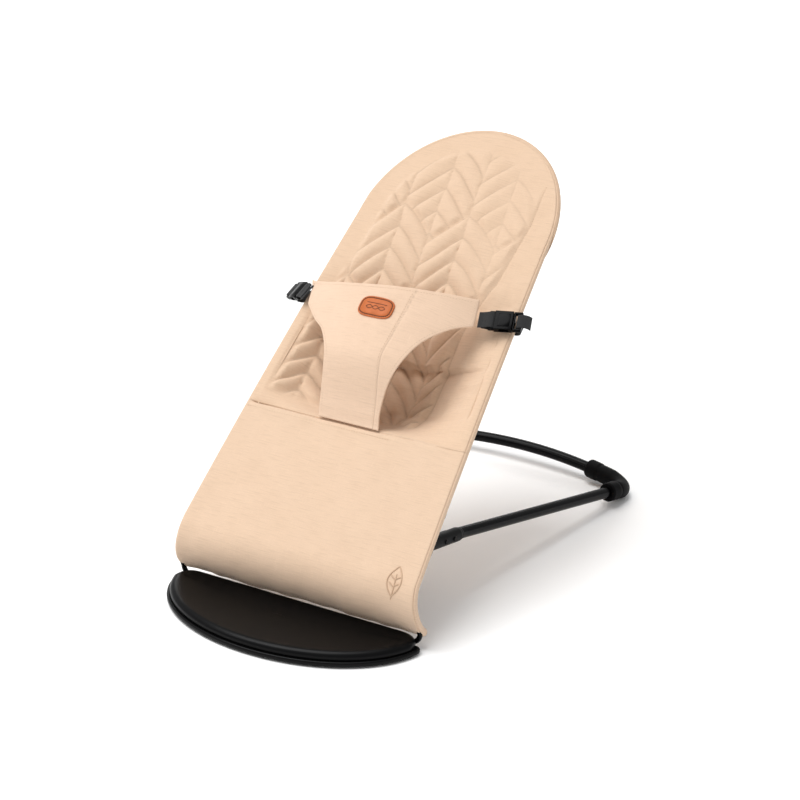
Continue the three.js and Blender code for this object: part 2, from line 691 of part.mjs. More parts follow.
// The strap from the buckle's ladder round the rail to the underside of the seat.
function anchorStrap(side, name) {
  const place = BUCKLE_PLACES[name];
  const route = place.strap.map(([x, off]) => new THREE.Vector2(x, off));
  const at = (lift) => (u, v) => {
    const spot = Math.min(Math.round(v * (route.length - 1)), route.length - 1);
    const before = route[Math.max(spot - 1, 0)];
    const after = route[Math.min(spot + 1, route.length - 1)];
    const normal = new THREE.Vector2(before.y - after.y, after.x - before.x).normalize();
    const shifted = route[spot].clone().addScaledVector(normal, lift);
    return seat(side * shifted.x, place.strapS + (u - 0.5) * WEB_WIDTH, shifted.y);
  };
  const faces = side > 0 ? [at(0.8), at(-0.8)] : [at(-0.8), at(0.8)];
  add(`anchor_strap_${name}`, sheet(2, route.length - 1, ...faces), 'webbing');
}

seatFrameRod();
cover();
frontPlate();
baseTube();
rack();
rivets();
prop();
flap();
leatherTag();
for (const [side, name] of [[-1, 'left'], [1, 'right']]) {
  pivotBracket(side, `pivot_bracket_${name}`);
  propClip(side, `prop_clip_${name}`);
  sleeve(side, `pivot_sleeve_${name}`);
  rearFoot(side, `rear_foot_${name}`);
  buckle(side, name);
  anchorStrap(side, name);
}

// The origin: on the floor, under the middle of the object.
const bounds = new THREE.Box3().setFromObject(object);
const middle = bounds.getCenter(new THREE.Vector3());
object.position.set(-middle.x, -middle.y, -bounds.min.z);

export default group;
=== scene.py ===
"""Bouncer seat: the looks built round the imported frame.

Shapes are written in millimetres from one fixed point of the object (the middle of the front plate's rear
edge, on the floor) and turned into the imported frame's metres by world().
"""
import math
from collections import namedtuple

import bmesh
import bpy
import numpy as np
from mathutils import Matrix, Vector

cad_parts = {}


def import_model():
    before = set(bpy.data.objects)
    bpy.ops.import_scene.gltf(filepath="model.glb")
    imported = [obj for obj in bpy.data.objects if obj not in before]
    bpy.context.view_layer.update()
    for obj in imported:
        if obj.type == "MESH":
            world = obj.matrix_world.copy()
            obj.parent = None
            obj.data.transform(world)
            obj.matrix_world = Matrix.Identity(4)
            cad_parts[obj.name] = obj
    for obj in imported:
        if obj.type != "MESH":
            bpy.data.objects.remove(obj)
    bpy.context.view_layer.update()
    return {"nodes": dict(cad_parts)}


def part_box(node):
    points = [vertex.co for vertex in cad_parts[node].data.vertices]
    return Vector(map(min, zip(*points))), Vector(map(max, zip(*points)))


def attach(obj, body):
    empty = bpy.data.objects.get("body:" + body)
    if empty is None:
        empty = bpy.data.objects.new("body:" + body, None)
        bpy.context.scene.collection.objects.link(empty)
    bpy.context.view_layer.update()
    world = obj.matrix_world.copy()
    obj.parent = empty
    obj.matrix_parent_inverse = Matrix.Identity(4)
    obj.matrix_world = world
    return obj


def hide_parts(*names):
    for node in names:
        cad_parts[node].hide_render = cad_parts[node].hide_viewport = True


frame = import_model()

# ---- the object's own dimensions, mm ----
MM = 0.001
PLATE_REAR_Y = 6.0
SLOPE = math.radians(42.5)
RAIL_BOW = 0.14e-3
ROD_R = 3.5
BEND_R, BEND_Y, BEND_Z = 48.0, 34.2, 59.7
BAR_Y, BAR_Z = -3.0, 9.0
HALF_LOW, HALF_HIGH = 180.5, 146.0
BAR_HALF, BEND_FLARE, FLARE_LENGTH = 187.5, 7.0, 70.0
SHOULDER_S, ARCH_RISE = 502.0, 165.0
HEM_S, CROTCH_S, POUCH_TOP_S = -84.0, 182.0, 430.0
POUCH_DEPTH = 68.0
POCKET_R = 5.2
COVER_CLOTH, BACKING_CLOTH, FLAP_CLOTH, WEB_CLOTH = 1.6, 1.0, 3.0, 1.5
POCKET_STEP, BACKING_STEP = 1.1, 1.4
ARCH_REACH = 148.0
CLOTH_FOLD = math.radians(80)
PIVOT_S, PIVOT_OFF = 46.0, -9.2
SLEEVE_R, SLEEVE_LENGTH = 9.6, 101.0
TUBE_R = 8.0
TUBE_FRONT_X, TUBE_REAR_X, TUBE_REAR_Y, TUBE_REAR_Z = 159.0, 200.0, 554.0, 12.5
TUBE_BOW_Y, TUBE_BOW_Z = 28.0, 12.0
CORNER_R = 30.0
CORNER_DIP = 5.0
PROP_ARM, PROP_R, PROP_X = 50.0, 3.0, 138.0
FIRST_NOTCH = 58.2
HINGE_OFF, FLAP_END_OFF, FLAP_BULGE = 9.0, 15.0, 42.0
WEB_WIDTH, WEB_EDGE = 20.0, 0.7

rod_low, rod_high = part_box("seat_frame_rod")
plate_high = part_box("plate_top")[1]
ORIGIN = np.array([(rod_low.x + rod_high.x) / 2, plate_high.y - PLATE_REAR_Y * MM, 0.0])


def world(points):
    return np.asarray(points, float) * MM + ORIGIN


# ---- the seat's surface: x across, s up the rails, off outwards from the rod's centreline ----
RAIL_START_Y = BEND_Y - BEND_R * math.sin(SLOPE)
RAIL_START_Z = BEND_Z + BEND_R * math.cos(SLOPE)


def seat(x, s, off=0.0):
    x, s, off = np.broadcast_arrays(np.asarray(x, float), np.asarray(s, float), np.asarray(off, float))
    angle = math.pi / 2 + SLOPE - s / BEND_R
    reach = BEND_R + off
    lean = SLOPE - RAIL_BOW * s
    rail_y = RAIL_START_Y + (math.sin(SLOPE) - np.sin(lean)) / RAIL_BOW - off * np.sin(lean)
    rail_z = RAIL_START_Z + (np.cos(lean) - math.cos(SLOPE)) / RAIL_BOW + off * np.cos(lean)
    y = np.where(s < 0, BEND_Y + reach * np.cos(angle), rail_y)
    z = np.where(s < 0, BEND_Z + reach * np.sin(angle), rail_z)
    return np.stack([x, y, z], -1)


def half_width(s):
    s = np.asarray(s, float)
    straight = HALF_LOW + (HALF_HIGH - HALF_LOW) * np.clip(s, 0, SHOULDER_S) / SHOULDER_S
    straight = straight + BEND_FLARE * ease(-s / FLARE_LENGTH)
    rise = np.clip((s - SHOULDER_S) / ARCH_RISE, 0, 1)
    return np.where(s <= SHOULDER_S, straight, HALF_HIGH * np.sqrt(1 - rise * rise))


def ease(t):
    t = np.clip(t, 0, 1)
    return t * t * (3 - 2 * t)


def cubic(points, i, t):
    """The Catmull-Rom curve between point i + 1 and point i + 2 of the list."""
    a, b, c, d = points[i : i + 4]
    return 0.5 * (
        2 * b + (c - a) * t + (2 * a - 5 * b + 4 * c - d) * t**2 + (3 * b - a - 3 * c + d) * t**3
    )


def with_end_points(points):
    return np.vstack([2 * points[0] - points[1], points, 2 * points[-1] - points[-2]])


def smooth_line(points, count):
    """A Catmull-Rom curve through the points, evenly spaced."""
    points = np.asarray(points, float)
    padded = with_end_points(points)
    fractions = np.linspace(0, 1, 24, endpoint=False)
    out = [cubic(padded, i, t) for i in range(len(points) - 1) for t in fractions]
    out.append(points[-1])
    return resample(np.array(out), count)


def resample(line, count):
    gaps = np.linalg.norm(np.diff(line, axis=0), axis=1)
    along = np.concatenate([[0], np.cumsum(gaps)])
    places = np.linspace(0, along[-1], count)
    return np.stack([np.interp(places, along, line[:, i]) for i in range(line.shape[1])], -1)


def length_of(line):
    return float(np.linalg.norm(np.diff(line, axis=0), axis=1).sum())


def both_sides(side):
    """A route to the middle, carried on as its own mirror image from its last point."""
    side = np.array(side, float)
    return np.vstack([side, side[-2::-1] * [-1, 1, 1]])


def both_ends(profile):
    """The outer half of a lathe profile, with its mirror image before it."""
    return [(r, -h) for r, h in reversed(profile)] + profile


# ---- value noise that is the same at every run ----
_noise_table = np.random.default_rng(7).uniform(-1, 1, (64, 64))


def noise(x, y, size):
    """Smooth noise from -1 to 1 with features about size mm wide."""
    x, y = np.asarray(x, float) / size + 200, np.asarray(y, float) / size + 200
    i, j = np.floor(x).astype(int), np.floor(y).astype(int)
    a, b = ease(x - i), ease(y - j)
    table = _noise_table
    low = table[i % 64, j % 64] * (1 - a) + table[(i + 1) % 64, j % 64] * a
    high = table[i % 64, (j + 1) % 64] * (1 - a) + table[(i + 1) % 64, (j + 1) % 64] * a
    return low * (1 - b) + high * b


# ---- materials ----
METRE_BANDS = 0.314  # a wave texture's scale for bands one metre apart
PLASTIC_IOR, PAINT_IOR = 1.3, 1.25


def linear(rgb):
    return [*(((c / 255 + 0.055) / 1.055) ** 2.4 if c > 10 else c / 255 / 12.92 for c in rgb), 1.0]


class Finish:
    """A node material under construction."""

    def __init__(self, name):
        self.material = bpy.data.materials.new(name)
        self.material.use_nodes = True
        self.tree = self.material.node_tree
        self.shader = self.tree.nodes["Principled BSDF"]

    def node(self, kind, settings=None, **inputs):
        node = self.tree.nodes.new(kind)
        for key, value in (settings or {}).items():
            setattr(node, key, value)
        for key, value in inputs.items():
            self.feed(node, key.replace("_", " "), value)
        return node

    def feed(self, node, key, value):
        socket = node.inputs[int(key)] if key.isdigit() else node.inputs[key]
        if isinstance(value, bpy.types.NodeSocket):
            self.tree.links.new(value, socket)
        else:
            socket.default_value = value

    def math(self, operation, a, b=0.0):
        node = self.node("ShaderNodeMath", {"operation": operation})
        self.feed(node, "0", a)
        self.feed(node, "1", b)
        return node.outputs[0]

    def scaled(self, coordinates, factors):
        node = self.node("ShaderNodeMapping", Vector=coordinates, Scale=factors)
        return node.outputs[0]

    def noise(self, coordinates, scale, detail=3.0, roughness=0.5):
        settings = {"Scale": scale, "Detail": detail, "Roughness": roughness}
        return self.node("ShaderNodeTexNoise", Vector=coordinates, **settings).outputs[0]

    def wave(self, coordinates, direction, period):
        settings = {"wave_type": "BANDS", "bands_direction": direction, "wave_profile": "SIN"}
        scale = METRE_BANDS / period
        node = self.node("ShaderNodeTexWave", settings, Vector=coordinates, Scale=scale, Distortion=0.0)
        return node.outputs["Fac"]

    def ramp(self, value, low, high, a=0.0, b=1.0):
        node = self.node("ShaderNodeMapRange", Value=value)
        for key, number in (("From Min", low), ("From Max", high), ("To Min", a), ("To Max", b)):
            self.feed(node, key, number)
        return node.outputs[0]

    def mix(self, factor, a, b):
        node = self.tree.nodes.new("ShaderNodeMix")
        node.data_type = "RGBA"
        self.feed(node, "Factor", factor)
        for index, value in ((6, a), (7, b)):
            self.feed(node, str(index), value)
        return node.outputs[2]

    def bump(self, height, distance, strength=1.0, under=None):
        node = self.node("ShaderNodeBump", Height=height, Distance=distance, Strength=strength)
        if under is not None:
            self.feed(node, "Normal", under)
        return node.outputs[0]

    def attribute(self, name):
        return self.node("ShaderNodeAttribute", {"attribute_name": name}).outputs["Fac"]

    def cloth_map(self):
        return self.node("ShaderNodeUVMap", {"uv_map": "cloth"}).outputs[0]

    def place(self):
        return self.node("ShaderNodeTexCoord").outputs["Object"]

    def set(self, **values):
        for key, value in values.items():
            self.feed(self.shader, key.replace("_", " "), value)
        return self.material


def canvas(name, base, shade, groove_shade=False):
    f = Finish(name)
    cloth = f.cloth_map()
    weft = f.noise(f.scaled(cloth, (55, 900, 1)), 1.0, 2.0)
    warp = f.noise(f.scaled(cloth, (900, 55, 1)), 1.0, 2.0)
    slubs = f.math("MAXIMUM", f.ramp(weft, 0.56, 0.78), f.ramp(warp, 0.58, 0.8))
    blotch = f.noise(cloth, 22.0, 3.0)
    tone = f.mix(f.ramp(blotch, 0.3, 0.7, 0.0, 0.35), linear(base), linear(shade))
    paler = [min(255, c * 1.045) for c in base]
    tone = f.mix(f.math("MULTIPLY", slubs, 0.75), tone, linear(paler))
    streak = f.ramp(f.noise(f.scaled(cloth, (38, 620, 1)), 1.0, 2.0), 0.5, 0.72, 0.0, 0.55)
    tone = f.mix(streak, tone, linear([c * 0.955 for c in shade]))
    thread = f.ramp(f.noise(f.scaled(cloth, (420, 1500, 1)), 1.0, 1.0), 0.3, 0.7, 0.0, 0.3)
    tone = f.mix(thread, tone, linear([c * 0.92 for c in base]))
    # painted shade: the groove attribute darkens the canvas in its stitched grooves and seams, standing in
    # for the shade that falls there
    if groove_shade:
        tone = f.mix(f.math("MULTIPLY", f.attribute("groove"), 0.5), tone, linear([c * 0.8 for c in shade]))
    across, along = f.wave(cloth, "X", 0.0009), f.wave(cloth, "Y", 0.0009)
    weave = f.math("MULTIPLY", across, along)
    relief = f.math("ADD", weave, f.math("MULTIPLY", slubs, 1.2))
    normal = f.bump(relief, 0.0002, 0.9)
    crumple = f.noise(cloth, 60.0, 3.0)
    normal = f.bump(crumple, 0.0008, 0.35, normal)
    return f.set(Base_Color=tone, Roughness=0.92, Normal=normal, Sheen_Weight=0.25, Sheen_Roughness=0.5,
                 Specular_IOR_Level=0.2)


def plastic(name, colour, roughness, grain=0.00004, grain_scale=900.0, scuffs=0.12, specular=0.5):
    f = Finish(name)
    place = f.place()
    fine = f.noise(place, grain_scale, 2.0)
    wide = f.noise(place, 35.0, 4.0)
    worn = [min(255, c * 1.3 + 3) for c in colour]
    tone = f.mix(f.ramp(wide, 0.45, 0.75, 0.0, scuffs * 2), linear(colour), linear(worn))
    rough = f.ramp(wide, 0.3, 0.7, roughness - scuffs / 2, roughness + scuffs)
    return f.set(Base_Color=tone, Roughness=rough, Normal=f.bump(fine, grain), Specular_IOR_Level=specular,
                 IOR=PLASTIC_IOR)


def paint(name, colour, roughness):
    f = Finish(name)
    place = f.place()
    peel = f.noise(place, 260.0, 2.0)
    dust = f.noise(place, 60.0, 5.0, 0.7)
    rough = f.ramp(dust, 0.35, 0.8, roughness, roughness + 0.05)
    return f.set(Base_Color=linear(colour), Roughness=rough, Normal=f.bump(peel, 0.00003),
                 Specular_IOR_Level=0.3, IOR=PAINT_IOR)


def metal(name, colour, roughness):
    f = Finish(name)
    streak = f.noise(f.scaled(f.place(), (40, 900, 900)), 1.0, 3.0)
    tone = f.mix(f.ramp(streak, 0.3, 0.7), linear(colour), linear([c * 0.8 for c in colour]))
    rough = f.ramp(streak, 0.2, 0.8, roughness - 0.08, roughness + 0.1)
    return f.set(Base_Color=tone, Metallic=1.0, Roughness=rough)


def webbing(name, colour):
    f = Finish(name)
    cloth = f.cloth_map()
    ribs = f.wave(cloth, "Y", 0.0016)
    threads = f.wave(cloth, "X", 0.0011)
    weave = f.math("ADD", ribs, f.math("MULTIPLY", threads, 0.6))
    tone = f.mix(f.ramp(weave, 0.2, 1.5), linear(colour), linear([c * 1.6 + 5 for c in colour]))
    return f.set(Base_Color=tone, Roughness=0.8, Normal=f.bump(weave, 0.0003), Sheen_Weight=0.15)


def leather(name, colour):
    f = Finish(name)
    place = f.place()
    edges = {"feature": "DISTANCE_TO_EDGE"}
    cells = f.node("ShaderNodeTexVoronoi", edges, Vector=place, Scale=900.0).outputs[0]
    blotch = f.noise(place, 120.0, 4.0)
    tone = f.mix(f.ramp(blotch, 0.3, 0.7, 0.0, 0.6), linear(colour), linear([c * 0.84 for c in colour]))
    tone = f.mix(f.attribute("groove"), tone, linear([c * 0.36 for c in colour]))
    normal = f.bump(f.ramp(cells, 0.0, 0.25), 0.00008, 0.6)
    rough = f.ramp(blotch, 0.3, 0.7, 0.5, 0.66)
    return f.set(Base_Color=tone, Roughness=rough, Normal=normal, Specular_IOR_Level=0.35)


def thread_finish(name, colour):
    f = Finish(name)
    twist = f.wave(f.place(), "DIAGONAL", 0.0006)
    tone = f.mix(twist, linear(colour), linear([c * 0.88 for c in colour]))
    return f.set(Base_Color=tone, Roughness=0.8, Normal=f.bump(twist, 0.0001))


CANVAS = canvas("canvas_plain", (224, 195, 168), (216, 186, 158))
QUILT = canvas("canvas_quilted", (224, 194, 166), (215, 184, 154), groove_shade=True)
# the flap's canvas is the cover's cloth painted a little paler: painted light for the flap's brighter face
FLAP = canvas("canvas_flap_lit", (229, 199, 173), (221, 191, 164), groove_shade=True)
BACKING = canvas("canvas_backing", (214, 184, 155), (205, 175, 146))
LEATHER = leather("leather_tan", (196, 104, 50))
WEBBING = webbing("webbing_black", (9, 9, 10))
GLOSS = plastic("acetal_gloss", (5, 5, 6), 0.2, 0.00002, 500.0, 0.04, 0.14)
PLATE = plastic("plate_satin", (6, 6, 7), 0.33, 0.00003, 1100.0, 0.04, 0.26)
MOULDED = plastic("moulded_black", (7, 7, 8), 0.42, 0.00005, 900.0, 0.08, 0.2)
RUBBER = plastic("rubber_black", (8, 8, 9), 0.55, 0.00006, 700.0, 0.1, 0.16)
PAINT = paint("tube_paint", (3, 3, 4), 0.2)
WIRE = paint("wire_paint", (4, 4, 5), 0.24)
ZINC = metal("zinc_plate", (170, 170, 176), 0.34)
THREAD = thread_finish("thread_beige", (208, 177, 148))
THREAD_PALE = thread_finish("thread_pale", (210, 178, 149))
THREAD_BROWN = thread_finish("thread_brown", (110, 62, 36))


# ---- pieces ----
EDGE_SHARP = math.radians(38)


def link(name, data):
    obj = bpy.data.objects.new(name, data)
    bpy.context.scene.collection.objects.link(obj)
    return obj


def finish_mesh(obj, sharp):
    bm = bmesh.new()
    bm.from_mesh(obj.data)
    bmesh.ops.remove_doubles(bm, verts=bm.verts, dist=1e-6)
    loose = [v for v in bm.verts if not v.link_faces]
    bmesh.ops.delete(bm, geom=loose, context="VERTS")
    for face in bm.faces:
        face.smooth = True
    for edge in bm.edges:
        edge.smooth = not (len(edge.link_faces) == 2 and edge.calc_face_angle(0) > sharp)
    bm.to_mesh(obj.data)
    bm.free()


def add_piece(name, points, faces, body, material, replaces=(), flat=None, sharp=EDGE_SHARP,
              groove=None, consistent=False):
    """One mesh in the frame: flat is its cloth map in mm, and groove is a 0-to-1 point mask that the finishes
    darken: painted shade in the canvas's stitched grooves and seams, and a darker channel on the leather tag.
    """
    mesh = bpy.data.meshes.new(name)
    mesh.from_pydata(world(points).tolist(), [], [list(map(int, f)) for f in faces])
    if flat is not None:
        layer = mesh.uv_layers.new(name="cloth")
        corners = np.zeros(len(mesh.loops), int)
        mesh.loops.foreach_get("vertex_index", corners)
        layer.data.foreach_set("uv", (np.asarray(flat, float)[corners] * MM).ravel().astype(np.float32))
    if groove is not None:
        data = mesh.attributes.new("groove", "FLOAT", "POINT").data
        data.foreach_set("value", np.asarray(groove, np.float32).ravel())
    obj = link(name, mesh)
    mesh.materials.append(material)
    if consistent:
        bm = bmesh.new()
        bm.from_mesh(mesh)
        bmesh.ops.recalc_face_normals(bm, faces=bm.faces)
        bm.to_mesh(mesh)
        bm.free()
    finish_mesh(obj, sharp)
    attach(obj, body)
    if replaces:
        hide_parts(*replaces)
    return obj


def grid_faces(rows, columns, wrap=False, start=0):
    faces = []
    last = columns if wrap else columns - 1
    for j in range(rows - 1):
        for i in range(last):
            a, b = start + j * columns + i, start + j * columns + (i + 1) % columns
            faces.append((a, b, b + columns, a + columns))
    return faces


def normals_of(grid):
    across = np.gradient(grid, axis=1)
    along = np.gradient(grid, axis=0)
    n = np.cross(across, along)
    return n / np.maximum(np.linalg.norm(n, axis=-1, keepdims=True), 1e-9)


def shell(middle, thickness, edge, us, vs):
    """A closed sheet with a rolled edge all round; us and vs are the grid's distances in mm."""
    rows, columns = middle.shape[:2]
    side = np.minimum(us - us[0], us[-1] - us)[None, :]
    end = np.minimum(vs - vs[0], vs[-1] - vs)[:, None]
    near = np.clip(np.minimum(side, end) / edge, 0, 1)
    swell = np.sqrt(np.clip(1 - (1 - near) ** 2, 0, 1))[..., None] * thickness / 2
    n = normals_of(middle)
    top, bottom = middle + n * swell, middle - n * swell
    points = np.vstack([top.reshape(-1, 3), bottom.reshape(-1, 3)])
    faces = grid_faces(rows, columns)
    faces += [tuple(reversed(f)) for f in grid_faces(rows, columns, start=rows * columns)]
    return points, faces


def edge_spacing(length, count, edge):
    """Distances from 0 to length, closer together inside the rolled edges."""
    roll = [0, 0.12 * edge, 0.4 * edge, edge]
    middle = np.linspace(edge, length - edge, count)[1:-1]
    return np.array([*roll, *middle, *[length - r for r in reversed(roll)]])


def tube_mesh(line, radius, sides=20, caps=True, start=0):
    """A round tube along a line of points; radius is a number or one for each point."""
    line = np.asarray(line, float)
    radii = np.broadcast_to(np.asarray(radius, float), (len(line),))
    tangents = np.gradient(line, axis=0)
    tangents /= np.linalg.norm(tangents, axis=1, keepdims=True)
    side = np.cross(tangents[0], [0, 0, 1.0])
    if np.linalg.norm(side) < 0.1:
        side = np.cross(tangents[0], [0, 1.0, 0])
    points, turn = [], np.linspace(0, 2 * math.pi, sides, endpoint=False)
    for place, tangent, r in zip(line, tangents, radii):
        side = side - tangent * (side @ tangent)
        side = side / np.linalg.norm(side)
        other = np.cross(tangent, side)
        points.append(place + r * (np.cos(turn)[:, None] * side + np.sin(turn)[:, None] * other))
    points = np.vstack(points)
    faces = grid_faces(len(line), sides, wrap=True, start=start)
    if caps:
        faces.append(tuple(start + i for i in reversed(range(sides))))
        faces.append(tuple(start + (len(line) - 1) * sides + i for i in range(sides)))
    return points, faces


class Build:
    """Gathers simple closed shapes, in mm, into one piece."""

    def __init__(self):
        self.bm = bmesh.new()

    def box(self, size, centre, bevel=0.6, segments=2, turn=None):
        made = bmesh.ops.create_cube(self.bm, size=1.0)["verts"]
        bmesh.ops.scale(self.bm, verts=made, vec=size)
        edges = list({e for v in made for e in v.link_edges})
        if bevel:
            bevel = min(bevel, min(size) * 0.49)
            out = bmesh.ops.bevel(self.bm, geom=edges, offset=bevel, segments=segments, profile=0.5,
                                  affect="EDGES")
            made = list({v for f in out["faces"] for v in f.verts} | {v for v in made if v.is_valid})
        if turn is not None:
            bmesh.ops.rotate(self.bm, verts=made, cent=(0, 0, 0), matrix=turn)
        bmesh.ops.translate(self.bm, verts=made, vec=centre)
        return self

    def extend(self, points, faces):
        made = [self.bm.verts.new(p) for p in points]
        for face in faces:
            self.bm.faces.new([made[i] for i in face])
        return self

    def prism(self, outline, low, high, bevel=0.0, segments=2, axis=2):
        """An outline in two axes, extruded along the third."""
        def lift(p, h):
            return {0: (h, p[0], p[1]), 1: (p[0], h, p[1]), 2: (p[0], p[1], h)}[axis]

        bottom = [self.bm.verts.new(lift(p, low)) for p in outline]
        top = [self.bm.verts.new(lift(p, high)) for p in outline]
        faces = [self.bm.faces.new(list(reversed(bottom))), self.bm.faces.new(top)]
        for i in range(len(outline)):
            k = (i + 1) % len(outline)
            faces.append(self.bm.faces.new([bottom[i], bottom[k], top[k], top[i]]))
        if axis == 1:
            bmesh.ops.reverse_faces(self.bm, faces=faces)
        if bevel:
            edges = list({e for f in faces[:2] for e in f.edges})
            bmesh.ops.bevel(self.bm, geom=edges, offset=bevel, segments=segments, profile=0.5, affect="EDGES")
        return self

    def tube(self, line, radius, sides=20):
        points, faces = tube_mesh(line, radius, sides)
        return self.extend(points, faces)

    def lathe(self, profile, centre, axis, sides=28):
        """A profile of (radius, height) pairs turned round an axis through centre."""
        axis = Vector(axis).normalized()
        side = axis.orthogonal().normalized()
        other = axis.cross(side)
        points = []
        for r, h in profile:
            for a in np.linspace(0, 2 * math.pi, sides, endpoint=False):
                spoke = side * math.cos(a) + other * math.sin(a)
                points.append(Vector(centre) + axis * h + spoke * max(r, 1e-3))
        faces = grid_faces(len(profile), sides, wrap=True)
        faces.append(tuple(reversed(range(sides))))
        faces.append(tuple((len(profile) - 1) * sides + i for i in range(sides)))
        return self.extend(points, faces)

    def piece(self, name, body, material, slot, replaces=(), at=None, sharp=EDGE_SHARP):
        bmesh.ops.recalc_face_normals(self.bm, faces=self.bm.faces)
        self.bm.verts.ensure_lookup_table()
        points = np.array([v.co[:] for v in self.bm.verts])
        flats = points[:, :2]
        self.bm.verts.index_update()
        faces = [[v.index for v in f.verts] for f in self.bm.faces]
        self.bm.free()
        if at is not None:
            rotation, place = at
            points = points @ rotation.T + place
        return add_piece(name, points, faces, body, material, replaces, flats, sharp)


def turned(axis, angle):
    return np.array(Matrix.Rotation(angle, 3, axis))


def stitches(lines, name, body, length=2.6, gap=1.5, radius=0.32, material=None, slot="canvas"):
    """Runs of sewing thread: short rounded dashes along lines of points in mm."""
    build = Build()
    for line in lines:
        line = np.asarray(line, float)
        total = length_of(line)
        fine = resample(line, max(int(total / 0.4), 8))
        step = total / (len(fine) - 1)
        run, hop = max(int(length / step), 2), max(int((length + gap) / step), 3)
        for k in range(0, len(fine) - run, hop):
            part = fine[k : k + run + 1][:: max(run // 3, 1)]
            radii = radius * np.sqrt(np.clip(1 - (2 * np.linspace(0.04, 0.96, len(part)) - 1) ** 4, 0.05, 1))
            build.tube(part, radii, 6)
    return build.piece(name, body, material or THREAD, slot)


# ---- the cover ----
COLUMN, SLANT = 51.5, 0.13
LEAF_TIPS = [(60.0, 0, 30.0), (205.0, 1, 30.0), (400.0, 0, 30.0), (528.0, 1, 37.0), (710.0, 0, 37.0)]


def lobe_fall(w, leftward):
    return np.where(leftward, 1.1 * w, 0.62 * w + 0.006 * w * w)


def quilt_edge(s):
    """Where the quilted patch ends on the right, along a stitched line."""
    return np.interp(s, [182, 214, 260, 301, 353, 430, 530, 580], [60, 66, 70, 72, 82, 104, 112, 108])


def rim_distance(x, s):
    """About how far a point is from the rod, inside the rails and under the head arch."""
    arch = np.sqrt((x / HALF_HIGH) ** 2 + (np.maximum(s - SHOULDER_S, 0) / ARCH_RISE) ** 2)
    return np.where(s > SHOULDER_S, (1 - arch) * ARCH_REACH, half_width(s) - np.abs(x))


def quilt_mask(x, s):
    rim = rim_distance(x, s)
    left_rim = np.interp(s, [182, 340, 430], [12, 14, 26])
    inside = ease((rim - left_rim) / 12)
    right = ease((quilt_edge(s) - x) / 7)
    low = ease((s - 203) / 16)
    return inside * right * low


def quilt(x, s):
    """Height of the leaf quilting in mm, and how deep in a stitched groove a point is, 0 to 1."""
    x, s = x + 2.2 * noise(x, s, 41), s + 3.0 * noise(s, x + 90, 47)
    shifted = x + 31 + SLANT * (np.maximum(s, 400) - 520)
    column = np.floor(shifted / COLUMN).astype(int)
    w = shifted - column * COLUMN
    even_is_left = column % 2 == 0
    height, done, groove = np.zeros_like(x), np.zeros(x.shape, bool), np.zeros_like(x)
    below = np.full(x.shape, 99.0)
    for tip, parity, pitch in LEAF_TIPS:
        leaf_is_left = even_is_left == (parity == 0)
        reach = np.where(leaf_is_left, w, COLUMN - w)
        level = s + lobe_fall(reach, ~leaf_is_left)
        here = ~done & (level < tip)
        phase = (tip - level) / pitch
        f = phase - np.floor(phase)
        arch = np.abs(np.sin(math.pi * f**0.8)) ** 0.75
        along = np.clip(np.sin(math.pi * np.clip(reach / COLUMN, 0, 1) ** 0.85), 0, 1) ** 0.4
        bound = ease(below / 10)
        height = np.where(here, arch * along * bound, height)
        near = np.minimum(np.minimum(f, 1 - f) * pitch * 0.7, np.minimum(w, COLUMN - w) + 0.8)
        groove = np.where(here, np.exp(-(np.minimum(near, below + 0.8) / 1.3) ** 2), groove)
        done |= here
        below = np.where(done, below, (level - tip) * 0.7)
    return height, groove


def pouch(x, s):
    """How far the seat sinks below the rails, mm."""
    t = np.clip((s - CROTCH_S) / (POUCH_TOP_S - CROTCH_S), 0, 1)
    along = np.sin(math.pi * t**0.58) ** 2
    steep = np.where(t < 0.5, np.maximum(along, ease((t - 0.045) / 0.17) * 0.95), along)
    left = 1 - np.clip(-x / (half_width(s) - 9), 0, 1) ** 2.2
    right = 1 - np.clip(x / (half_width(s) - 6), 0, 1) ** 1.7
    across = np.where(x < 0, left, right)
    return POUCH_DEPTH * steep * np.clip(across, 0, 1) ** 1.15


def cover_off(x, s, quilted=True):
    """The cover's height over the rails, and a 0-to-1 mask of how deep in a stitched groove or the patch's
    edge seam it is, which the quilted canvas darkens as painted shade.
    """
    rim = half_width(np.minimum(s, SHOULDER_S)) - np.abs(x)
    taut = POCKET_R - 0.5 * ease(rim / 20)
    if not quilted:
        ripple = 0.9 * noise(x, s, 46) + 0.35 * noise(x + 300, s * 0.7, 19)
        ripple = ripple + 0.8 * ease((HEM_S + 45 - s) / 35) * noise(x, s * 0.35, 13)
        return taut + ripple * ease(rim / 25), np.zeros_like(x)
    mask = quilt_mask(x, s)
    puff, groove = quilt(x, s)
    rise = np.interp(s, [200, 330, 420, 520, 640], [9.5, 8.2, 7.0, 5.8, 4.2])
    fade = (1 - 0.5 * ease((x - 15) / 60) * ease((s - 400) / 60)) * (1 + 0.22 * noise(x + 40, s, 52))
    plain = (1 - mask) * ease((rim - 2) / 12)
    side_wrinkle = ease((x - 84) / 12) * ease((s - 185) / 25) * ease((470 - s) / 60)
    wrinkles = side_wrinkle * (1.5 * noise(x * 0.6 + s * 0.5, s - x * 0.4, 15) + 0.8 * noise(x, s * 0.6, 8))
    seam = np.exp(-((x - quilt_edge(s) - 1.5) / 1.8) ** 2) * ease((s - 205) / 15) * ease((600 - s) / 40)
    off = taut - pouch(x, s) + mask * fade * rise * puff + plain * (wrinkles + 0.35 * noise(x, s, 30))
    off = off - 1.3 * seam
    off = off + mask * 0.5 * noise(x, s, 34)
    # painted shade mask: darker in the quilt's grooves and along the patch's edge seam
    return off, np.clip(mask * groove * fade + 0.55 * seam, 0, 1)


POCKET_ANGLES = np.radians([84, 76, 66, 60, 55, 50, 40, 25, 8, -10, -30, -50, -70, -90])


